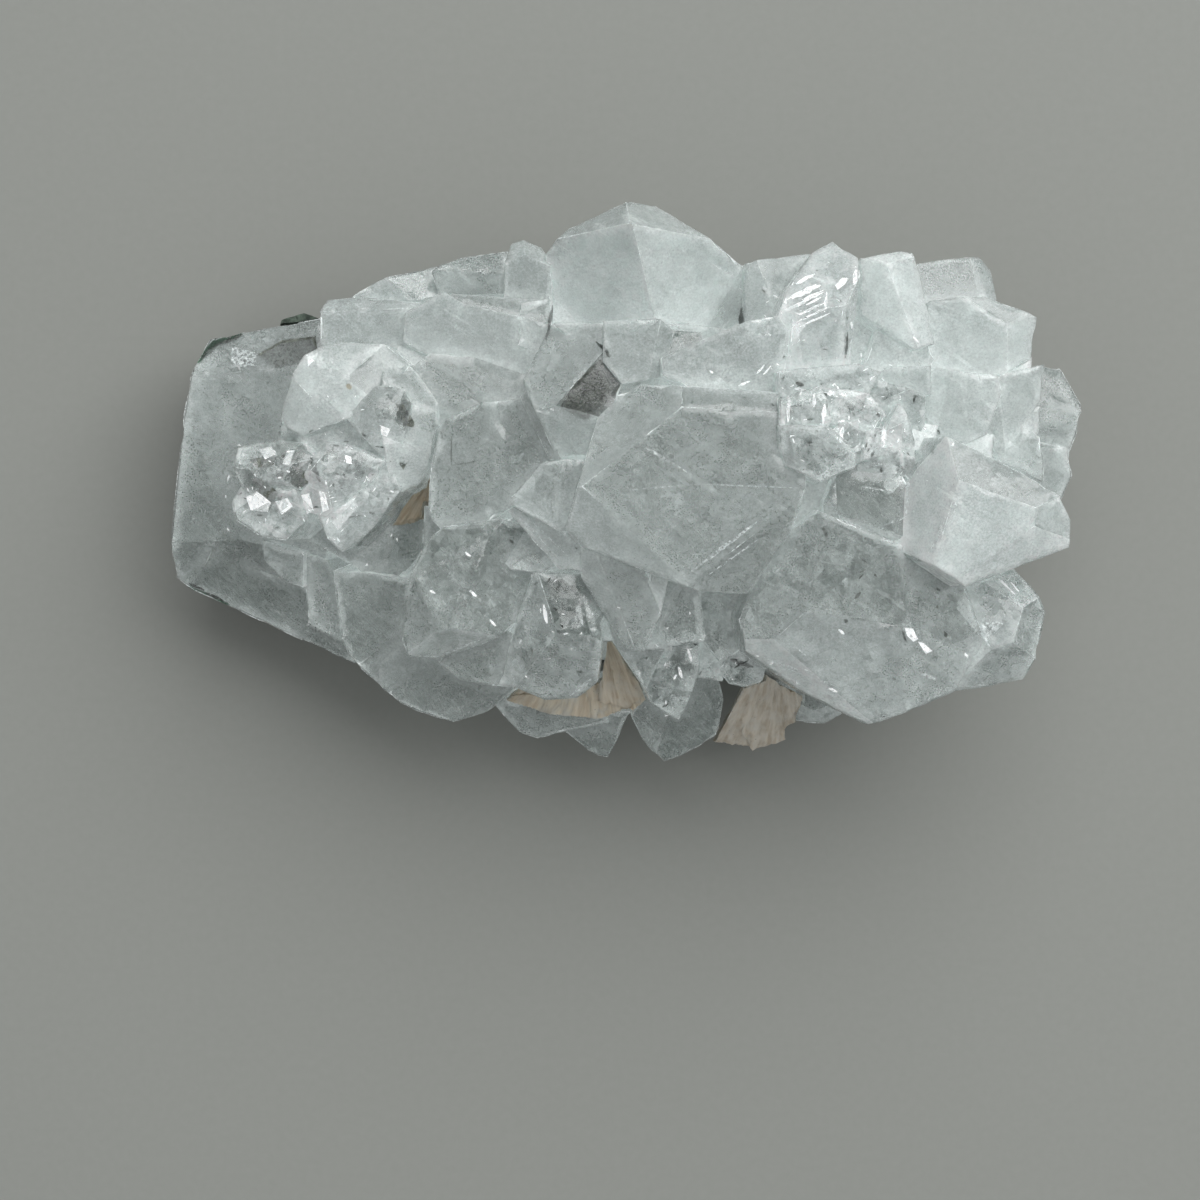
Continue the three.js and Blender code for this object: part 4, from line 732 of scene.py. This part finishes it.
def finish_facets(bm):
    """The paleness and milkiness of every face, from the FACETS points seen from above."""
    tree = BVHTree.FromBMesh(bm)
    facet, count = facets_of(bm)
    centre = [Vector() for _ in range(count)]
    area = [0.0] * count
    for face in bm.faces:
        size = face.calc_area()
        centre[facet[face.index]] += face.calc_center_median() * size
        area[facet[face.index]] += size
    centre = [c / max(a, LEAST_AREA) for c, a in zip(centre, area)]
    known = {}
    seen = KDTree(sum(len(points) for points in FACETS.values()))
    given = []
    for name, points in FACETS.items():
        for x, y, pale, milky in points:
            hit, _, index, _ = tree.ray_cast(Vector((x * MM, y * MM, 1)), -UP)
            if hit is None:
                raise ValueError(f"no facet under a point of {name}: {x}, {y}")
            known[facet[index]] = len(given)
            seen.insert(hit, len(given))
            given.append((pale, milky, GLITTER.get(name, 0.0)))
    seen.balance()
    looks = np.zeros((len(bm.faces), len(LOOKS)))
    for face in bm.faces:
        number = facet[face.index]
        looks[face.index] = given[known.get(number, seen.find(centre[number])[1])]
        if number not in known:
            looks[face.index, 0] = looks[face.index, 0] * 0.5 + SIDE_PALENESS * 0.5
    return looks


def evenly(edge):
    """The same wanted edge, in millimetres, everywhere."""
    return lambda places: np.full(len(places), edge * MM)


def refine(points, triangles, source, wanted_at):
    """Halves the longest sides of triangles until they are as short as wanted where they are."""
    wanted = wanted_at(points)
    for _ in range(REFINE_PASSES):
        sides = np.stack([triangles[:, [1, 2]], triangles[:, [2, 0]], triangles[:, [0, 1]]], axis=1)
        sides = np.sort(sides, axis=2)
        keys = sides[:, :, 0] * len(points) + sides[:, :, 1]
        keys, where = np.unique(keys.ravel(), return_inverse=True)
        where = where.reshape(-1, 3)
        edges = np.stack([keys // len(points), keys % len(points)], axis=1)
        middle = points[edges].mean(axis=1)
        length = np.linalg.norm(points[edges[:, 0]] - points[edges[:, 1]], axis=1)
        chosen = where[np.arange(len(where)), length[where].argmax(axis=1)]
        split = np.zeros(len(edges), bool)
        split[chosen] = True
        split &= length > wanted[edges].mean(axis=1)
        if not split.any():
            break
        new_point = np.full(len(edges), -1)
        new_point[split] = len(points) + np.arange(split.sum())
        points = np.concatenate([points, middle[split]])
        wanted = np.concatenate([wanted, wanted_at(middle[split])])
        added = new_point[where]
        marked = (added >= 0).sum(axis=1)
        made = [triangles[marked == 0]]
        kept = [source[marked == 0]]
        for turn in range(3):
            a, b, c = np.roll(triangles, -turn, axis=1).T
            across_a, across_b, across_c = np.roll(added, -turn, axis=1).T
            one = (marked == 1) & (across_a >= 0)
            made += [np.stack([a, b, across_a], 1)[one], np.stack([a, across_a, c], 1)[one]]
            kept += [source[one]] * 2
            two = (marked == 2) & (across_a < 0)
            made += [np.stack([a, across_c, across_b], 1)[two]]
            # the shorter of the two diagonals of the four-sided rest
            first = np.linalg.norm(points[across_c] - points[c], axis=1)
            second = np.linalg.norm(points[across_b] - points[b], axis=1)
            made += [np.stack([across_c, b, c], 1)[two & (first <= second)],
                     np.stack([across_c, c, across_b], 1)[two & (first <= second)],
                     np.stack([across_c, b, across_b], 1)[two & (first > second)],
                     np.stack([b, c, across_b], 1)[two & (first > second)]]
            kept += [source[two]] + [source[two & (first <= second)]] * 2
            kept += [source[two & (first > second)]] * 2
        a, b, c = triangles[marked == 3].T
        across_a, across_b, across_c = added[marked == 3].T
        made += [np.stack([a, across_c, across_b], 1), np.stack([b, across_a, across_c], 1),
                 np.stack([c, across_b, across_a], 1), np.stack([across_a, across_b, across_c], 1)]
        kept += [source[marked == 3]] * 4
        triangles = np.concatenate(made)
        source = np.concatenate(kept)
    return points, triangles, source


def sharp_lines(bm, outward):
    """A tree of points along the arrises (outward) or along the creases between crystals."""
    points = []
    for edge in bm.edges:
        if len(edge.link_faces) != 2 or edge.is_convex != outward:
            continue
        if edge.calc_face_angle(0) < ARRIS_ANGLE:
            continue
        a, b = (v.co for v in edge.verts)
        steps = max(1, math.ceil((b - a).length / (ARRIS_STEP * MM)))
        points.extend(a.lerp(b, i / steps) for i in range(steps + 1))
    tree = KDTree(len(points))
    for i, point in enumerate(points):
        tree.insert(point, i)
    tree.balance()
    return tree


def hidden_share(tree, places, normals):
    """How much of the light from above other crystals keep from each place, 0 to 1."""
    turn = math.pi * (3 - math.sqrt(5))
    above = []
    for i in range(SKY_SAMPLES):
        up = 1 - (i + 0.5) / SKY_SAMPLES * SKY_LOW
        out = math.sqrt(1 - up * up)
        above.append(Vector((math.cos(turn * i) * out, math.sin(turn * i) * out, up)))
    shares = np.zeros(len(places))
    for index, (place, normal) in enumerate(zip(places, normals)):
        normal = Vector(normal)
        start = Vector(place) + normal * SKY_START * MM
        met, hidden = 0.0, 0.0
        for way in above:
            facing = way.dot(normal)
            if facing <= SKY_GRAZING:
                continue
            met += facing
            if tree.ray_cast(start, way, SKY_REACH * MM)[0] is not None:
                hidden += facing
        shares[index] = hidden / met if met else 1.0
    return shares


def give_looks(mesh, looks):
    """Stores the paleness, milkiness and glitter of every face, for the materials."""
    for column, name in enumerate(LOOKS):
        layer = mesh.attributes.new(name, "FLOAT", "FACE")
        layer.data.foreach_set("value", np.ascontiguousarray(looks[:, column]))


def give_points(mesh, values_of):
    """Stores named values of every corner, for the materials."""
    for name, values in values_of.items():
        layer = mesh.attributes.new(name, "FLOAT", "POINT")
        layer.data.foreach_set("value", values)


def mesh_of(name, points, triangles):
    mesh = bpy.data.meshes.new(name)
    mesh.from_pydata(points.tolist(), [], triangles.tolist())
    return mesh


def add_piece(name, mesh, material):
    piece = bpy.data.objects.new(name, mesh)
    bpy.context.scene.collection.objects.link(piece)
    mesh.materials.append(material)
    return piece


def arrays_of(bm):
    """The corners and the triangles of a triangulated mesh, as arrays."""
    points = np.array([vert.co for vert in bm.verts])
    triangles = np.array([[vert.index for vert in face.verts] for face in bm.faces])
    return points, triangles


def cad_mesh(node):
    """A CAD piece's own mesh, joined up and in triangles."""
    bm = bmesh.new()
    bm.from_mesh(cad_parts[node].data)
    bmesh.ops.remove_doubles(bm, verts=bm.verts, dist=WELD)
    bmesh.ops.triangulate(bm, faces=bm.faces)
    bm.normal_update()
    bm.faces.ensure_lookup_table()
    bm.faces.index_update()
    bm.verts.index_update()
    return bm


def cloud(points, triangles, source, looks, tree, away, crease):
    """The milky inside of the crystals, an uneven depth below their surface."""
    mesh = mesh_of("milky_insides", points, triangles)
    inner = points.copy()
    glitter = np.zeros(len(points))
    glitter[triangles.ravel()] = np.repeat(looks[source, LOOKS.index("glitter")], 3)
    for index, normal in enumerate(mesh.vertex_normals):
        inward = -normal.vector
        start = Vector(points[index]) + inward * CLOUD_SKIN * MM
        through = tree.ray_cast(start, inward)[3] or 0.0
        lumps = noise.noise(start / (CLOUD_LUMP * MM)) * CLOUD_ROUGH
        lumps += noise.noise(start / (GLITTER_LUMP * MM)) * glitter[index] * GLITTER_ROUGH
        slope = CLOUD_SLOPE + GLITTER_SLOPE * glitter[index]
        near_arris = CLOUD_ARRIS + slope * away[index] / MM
        depth = min(CLOUD_DEPTH * (0.7 + glitter[index] + lumps), near_arris) * MM
        depth = max(CLOUD_LEAST * MM, min(depth, CLOUD_SHARE * through))
        inner[index] += np.array(inward) * (CLOUD_SKIN * MM + depth)
    mesh.vertices.foreach_set("co", inner.ravel())
    give_looks(mesh, looks[source])
    normals = [normal.vector.copy() for normal in mesh.vertex_normals]
    give_points(mesh, {"crease": crease / MM, "hidden": hidden_share(tree, points, normals)})
    mesh.update()
    piece = add_piece("milky_insides", mesh, cloud_finish())
    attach(piece, "root")


def crystals():
    """The crystals' mesh: fine enough for worn and chipped arrises and uneven facets."""
    bm = cad_mesh("apophyllite")
    looks = finish_facets(bm)
    tree = BVHTree.FromBMesh(bm)
    arrises = sharp_lines(bm, True)
    creases = sharp_lines(bm, False)
    points, triangles = arrays_of(bm)
    bm.free()

    def away(places, lines=arrises):
        return np.array([lines.find(place)[2] for place in places])

    def wanted_at(places):
        return np.where(away(places) < ARRIS_BAND * MM, FINE_EDGE, COARSE_EDGE) * MM

    coarse = refine(points, triangles, np.arange(len(triangles)), evenly(COARSE_EDGE))
    cloud(*coarse, looks, tree, away(coarse[0]), away(coarse[0], creases))
    points, triangles, source = refine(*coarse, wanted_at)

    mesh = mesh_of("apophyllite_crystals", points, triangles)
    distance = away(points) / MM
    normals = np.array([normal.vector for normal in mesh.vertex_normals])
    for index, (point, normal) in enumerate(zip(points, normals)):
        place = Vector(point) / MM
        wave = noise.noise(place / WAVE_LENGTH) * WAVE
        chip = max(0.0, noise.noise(place / CHIP_LENGTH) - CHIP_GAPS) * CHIP_DEPTH * 2
        wear = (ARRIS_WEAR + chip) * max(0.0, 1 - distance[index] / (WEAR_REACH * FINE_EDGE))
        points[index] = point + normal * (wave - wear) * MM
    mesh.vertices.foreach_set("co", points.ravel())
    give_looks(mesh, looks[source])
    give_points(mesh, {"arris": away(points) / MM, "crease": away(points, creases) / MM,
                       "hidden": hidden_share(tree, points, normals)})
    mesh.shade_smooth()
    mesh.set_sharp_from_angle(angle=SHADE_ANGLE)
    mesh.update()
    piece = add_piece("apophyllite_crystals", mesh, crystal_finish())
    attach(piece, "root")
    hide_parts("apophyllite")
    return piece


def veil_finish():
    """Healed fractures inside the crystals: white wisps on clear planes."""
    f = Finish("fracture_veils")
    wisp_place = f.stretch(f.place, VEIL_WISP_STRETCH)
    wisp = f.noise(VEIL_WISP_SIZE, detail=5, roughness=0.7, vector=wisp_place)
    patch = f.noise(VEIL_PATCH_SIZE, detail=2)
    solid = wisp.fit(0.46, 0.62) * patch.fit(0.35, 0.6)
    white = f.surface(Base_Color=(0.93, 0.97, 0.97, 1), Roughness=0.3, Alpha=solid * 0.8)
    return f.show(white)


def plate_finish(name):
    """A mottled, broken finish of the small plates."""
    dark, light, roughness, cover, glow = PLATE_LOOKS[name]
    f = Finish(name)
    mottle = f.noise(MOTTLE_SIZE, detail=5, roughness=0.7, distortion=0.5).fit(0.34, 0.62)
    colour = f.colour(mottle, dark, light)
    ragged = f.noise(RAGGED_SIZE, detail=4, roughness=0.75)
    solid = ragged.fit(0.60 - cover * 0.3, 0.66 - cover * 0.2, 0.0, 0.35 + cover * 0.65)
    normal = f.bump(mottle, MOTTLE_DEPTH)
    return f.show(f.surface(Base_Color=colour, Roughness=roughness, Normal=normal, Alpha=solid,
                            Emission_Color=opaque(light), Emission_Strength=glow))


def splinter(chance, x1, y1, x2, y2, width):
    """The ragged outline of a long thin plate."""
    along = Vector((x2 - x1, y2 - y1))
    length = max(along.length, SPLINTER_LEAST)
    along = along / length if along.length else Vector((1, 0))
    across = Vector((-along.y, along.x))
    steps = max(3, round(length / SPLINTER_STEP))
    sides = [[], []]
    for i in range(steps + 1):
        spine = Vector((x1, y1)) + along * length * i / steps
        thin = math.sin(math.pi * (i + 0.6) / (steps + 1.2))
        for side, sign in zip(sides, (1, -1)):
            side.append(spine + across * sign * width / 2 * thin * chance.uniform(0.35, 1.0))
    return [tuple(corner) for corner in sides[0] + sides[1][::-1]]


def prism(bm, low, high):
    """A closed plate between two rings of corners."""
    low = [bm.verts.new(corner) for corner in low]
    high = [bm.verts.new(corner) for corner in high]
    bm.faces.new(high)
    bm.faces.new(low[::-1])
    for i in range(len(low)):
        j = (i + 1) % len(low)
        bm.faces.new((low[i], low[j], high[j], high[i]))


def surface_plates(name, tree, outlines):
    """Thin plates in the facets, outlines of (x, y) seen from above, a hair proud of them."""
    bm = bmesh.new()
    for outline in outlines:
        hits = [tree.ray_cast(Vector((x * MM, y * MM, 1)), -UP)[:2] for x, y in outline]
        if any(place is None for place, _ in hits):
            continue
        heights = [place.z for place, _ in hits]
        reach = max((place - hits[0][0]).xy.length for place, _ in hits)
        if max(heights) - min(heights) > PLATE_DROP * MM + PLATE_SLOPE * reach:
            continue
        sunk = PLATE_THICKNESS - PLATE_RISE
        prism(bm, [place - normal * sunk * MM for place, normal in hits],
              [place + normal * PLATE_RISE * MM for place, normal in hits])
    bmesh.ops.recalc_face_normals(bm, faces=bm.faces)
    crystal_piece(name, bm, plate_finish(name))


def crystal_piece(name, bm, material):
    mesh = bpy.data.meshes.new(name)
    bm.to_mesh(mesh)
    bm.free()
    piece = add_piece(name, mesh, material)
    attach(piece, "root")


def crystal_blocks():
    bm = bmesh.new()
    bm.from_mesh(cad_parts["apophyllite"].data)
    return bm


def scattered(chance, names, count, spread):
    """Random (x, y) about the facets of some crystals."""
    facets = [point for name in names for point in FACETS[name]]
    for _ in range(count):
        x, y = chance.choice(facets)[:2]
        yield chance.gauss(x, spread), chance.gauss(y, spread)


def flake(chance, x, y, size):
    """The outline of a small flat chip, three to five corners."""
    corners = chance.randint(3, 5)
    start = chance.uniform(0, math.tau)
    lie = chance.uniform(0, math.pi)
    outline = []
    for i in range(corners):
        angle = start + math.tau * (i + chance.uniform(-0.25, 0.25)) / corners
        reach = size * chance.uniform(0.5, 1.0)
        along, across = math.cos(angle) * reach * FLAKE_LONG, math.sin(angle) * reach * FLAKE_WIDE
        outline.append((x + along * math.cos(lie) - across * math.sin(lie),
                        y + along * math.sin(lie) + across * math.cos(lie)))
    return outline


def flakes(chance, names, count, spread, smallest, largest):
    """Random flakes about the facets of some crystals."""
    return [flake(chance, x, y, chance.uniform(smallest, largest))
            for x, y in scattered(chance, names, count, spread)]


def surface_marks(tree):
    """The marks in the crystals' facets: streaks, painted glints, flaws and smoky windows."""
    chance = random.Random(MARK_SEED)
    streaks = FROST_PATCHES + [splinter(chance, *mark) for mark in STREAKS]
    streaks += [splinter(chance, *near, *far, RIM_WIDTH)
                for near, far in zip(HEXAGON_RIM, HEXAGON_RIM[1:] + HEXAGON_RIM[:1])]
    glints = GLINT_PATCHES + [splinter(chance, *mark) for mark in GLINTS]
    # more painted glints, scattered about the glittery crystals
    glints += flakes(chance, GLITTERING, *GLINT_FLAKES)
    flaws = [splinter(chance, *mark) for mark in FLAWS]
    flaws += flakes(chance, GLITTERING, *FLAW_FLAKES)
    flaws += flakes(chance, FACETS, *DOT_FLAKES)
    surface_plates("pale_streaks", tree, streaks)
    surface_plates("bright_glints", tree, glints)
    surface_plates("dark_flaws", tree, flaws)
    surface_plates("smoky_windows", tree, SMOKY_PATCHES)


def bright_arrises(tree):
    """Thin bright lines along parts of the arrises: painted highlights where worn edges catch the
    light, and the whitening of the wear itself.
    """
    bm = bmesh.new()
    for a, b in arris_ends():
        steps = max(1, round((b - a).length / (LINE_STEP * MM)))
        way = (b - a).normalized()
        rings = []
        for i in range(steps + 1):
            place = a.lerp(b, i / steps)
            near, normal, _, _ = tree.find_nearest(place)
            width = (noise.noise(place / (LINE_LENGTH * MM)) - LINE_GAPS) * LINE_WIDTH * MM
            if width <= 0 or near is None:
                ring_of(bm, rings)
                rings = []
                continue
            width = min(width, LINE_WIDTH * 0.5 * MM)
            across = way.cross(normal).normalized() * width / 2
            rings.append((near + across, near + normal * LINE_RISE * MM, near - across,
                          near - normal * width / 2))
        ring_of(bm, rings)
    bmesh.ops.recalc_face_normals(bm, faces=bm.faces)
    crystal_piece("bright_arrises", bm, plate_finish("bright_arrises"))


def ring_of(bm, rings):
    """A thin closed rod through rings of four corners."""
    if len(rings) < 2:
        return
    made = [[bm.verts.new(corner) for corner in ring] for ring in rings]
    bm.faces.new(made[0])
    bm.faces.new(made[-1][::-1])
    for near, far in zip(made, made[1:]):
        for i in range(4):
            j = (i + 1) % 4
            bm.faces.new((near[i], near[j], far[j], far[i]))


def arris_ends():
    """The two ends of every arris of the crystals."""
    bm = crystal_blocks()
    bmesh.ops.remove_doubles(bm, verts=bm.verts, dist=WELD)
    bm.normal_update()
    ends = []
    for edge in bm.edges:
        if len(edge.link_faces) != 2 or not edge.is_convex:
            continue
        if edge.calc_face_angle(0) > LINE_ANGLE and edge.calc_length() > LINE_SHORTEST * MM:
            ends.append(tuple(vert.co.copy() for vert in edge.verts))
    bm.free()
    return ends


def veils():
    """Thin fracture planes sealed in the crystals, just under facets of the clearer ones."""
    chance = random.Random(VEIL_SEED)
    tree = BVHTree.FromBMesh(crystal_blocks())

    def sealed(centre, corner):
        """A corner pulled in until it lies well inside the crystals."""
        for step in range(VEIL_TRIES):
            place = centre.lerp(corner, 1 - step / VEIL_TRIES)
            near, normal, _, away = tree.find_nearest(place)
            if away > VEIL_COVER * MM and (place - near).dot(normal) < 0:
                return place
        return centre

    bm = bmesh.new()
    for x, y in scattered(chance, VEILED, VEIL_COUNT, VEIL_SPREAD):
        hit, normal, _, _ = tree.ray_cast(Vector((x * MM, y * MM, 1)), -UP)
        if hit is None or normal.z < VEIL_LEVEL:
            continue
        centre = hit - normal * chance.uniform(*VEIL_DEPTHS) * MM
        if tree.find_nearest(centre)[3] < VEIL_COVER * MM:
            continue
        tilt = Vector([chance.gauss(0, VEIL_TILT) for _ in range(3)])
        facing = (normal + tilt).normalized()
        side = facing.orthogonal().normalized()
        other = facing.cross(side)
        reach = chance.uniform(*VEIL_REACHES) * MM
        ring = []
        for turn in range(VEIL_CORNERS):
            angle = math.tau * turn / VEIL_CORNERS
            way = side * math.cos(angle) + other * math.sin(angle) * VEIL_NARROW
            spoke = reach * chance.uniform(0.5, 1.0)
            ring.append(sealed(centre, centre + way * spoke))
        half = facing * PLATE_THICKNESS * MM / 2
        prism(bm, [corner - half for corner in ring], [corner + half for corner in ring])
    crystal_piece("fracture_veils", bm, veil_finish())


def roughened(node, name, edge, height, material):
    """A fine copy of a CAD piece, its skin moved by height(place, normal), in millimetres."""
    bm = cad_mesh(node)
    points, triangles = arrays_of(bm)
    bm.free()
    points, triangles, _ = refine(points, triangles, np.arange(len(triangles)), evenly(edge))
    mesh = mesh_of(name, points, triangles)
    normals = [normal.vector.copy() for normal in mesh.vertex_normals]
    for index, normal in enumerate(normals):
        place = Vector(points[index]) / MM
        points[index] += np.array(normal) * height(place, normal) * MM
    mesh.vertices.foreach_set("co", points.ravel())
    mesh.shade_smooth()
    mesh.set_sharp_from_angle(angle=ROUGH_ANGLE)
    mesh.update()
    piece = add_piece(name, mesh, material)
    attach(piece, "root")
    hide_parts(node)
    return piece


def rock_height(place, normal):
    """Rough broken basalt, left flat where it rests."""
    if place.z < FOOT_HEIGHT:
        return 0.0
    lumps = sum(noise.noise(place / size) * high for size, high in ROCK_LUMPS)
    return min(0.0, lumps - ROCK_SINK)


def blade_height(pole):
    """Ribs of stilbite blades that spread from a pole (x, y)."""
    def height(place, normal):
        angle = math.atan2(place.y - pole[1], place.x - pole[0])
        away = math.hypot(place.y - pole[1], place.x - pole[0])
        ribs = noise.noise(Vector((angle * BLADES, away * 0.12, place.z * 0.3)))
        fine = noise.noise(Vector((angle * BLADES * FINE_RIBS, away * 0.3, place.z)))
        return min(0.0, ribs * RIB_HEIGHT + fine * FINE_RIB_HEIGHT - RIB_SINK)
    return height


def fan(side, pole, material):
    piece = roughened(f"stilbite_{side}", f"stilbite_fan_{side}", BLADE_EDGE, blade_height(pole),
                      material)


# ---------------------------------------------------------------- floor, light and camera
# places of the camera in millimetres, of the rest in metres
CAMERA_HEIGHT = 360.0
CAMERA_PLACE = (-2.57, -12.10)
CAMERA_ANGLE = 22.1
CAMERA_NEAR = 0.01
FLOOR_SIZE = 3.0
ROOM_COLOUR = (0.98, 1.0, 1.0, 1)
ROOM_STRENGTH = 0.66
WINDOW_SIZE = (0.90, 0.75)
WINDOW_POWER = 7.6
WINDOW_PLACE = (0.26, 0.40, 0.60)
WINDOW_AIM = (0, 0, 0.02)


def studio():
    """A grey floor, an even room and a large window to one side, seen from straight above."""
    bpy.ops.mesh.primitive_grid_add(x_subdivisions=2, y_subdivisions=2, size=FLOOR_SIZE)
    floor = bpy.context.object
    floor.name = "floor"
    floor.data.materials.append(floor_finish())
    floor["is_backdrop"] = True

    world = bpy.data.worlds.new("soft_room")
    world.use_nodes = True
    sky = world.node_tree.nodes["Background"]
    sky.inputs["Color"].default_value = ROOM_COLOUR
    sky.inputs["Strength"].default_value = ROOM_STRENGTH
    bpy.context.scene.world = world

    lamp = bpy.data.lights.new("window", "AREA")
    lamp.shape = "RECTANGLE"
    lamp.size, lamp.size_y = WINDOW_SIZE
    lamp.energy = WINDOW_POWER
    lamp_object = bpy.data.objects.new("window", lamp)
    lamp_object.location = WINDOW_PLACE
    aim = Vector(WINDOW_AIM) - lamp_object.location
    lamp_object.rotation_euler = aim.to_track_quat("-Z", "Y").to_euler()
    bpy.context.scene.collection.objects.link(lamp_object)

    camera = bpy.data.cameras.new("camera")
    camera.angle = math.radians(CAMERA_ANGLE)
    camera.clip_start = CAMERA_NEAR
    camera_object = bpy.data.objects.new("camera", camera)
    camera_object.location = (CAMERA_PLACE[0] * MM, CAMERA_PLACE[1] * MM, CAMERA_HEIGHT * MM)
    bpy.context.scene.collection.objects.link(camera_object)
    bpy.context.scene.camera = camera_object
    bpy.context.scene.view_settings.view_transform = "Standard"


studio()
skin = BVHTree.FromObject(crystals(), bpy.context.evaluated_depsgraph_get())
veils()
surface_marks(skin)
bright_arrises(skin)
rock = roughened("matrix", "basalt", ROCK_EDGE, rock_height, rock_finish())
for side, pole in POLES.items():
    fan(side, pole, stilbite_finish(side, pole))

boxes = {"cad": cad_box, "visual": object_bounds()}
{name: [list(corner) for corner in box] for name, box in boxes.items()}
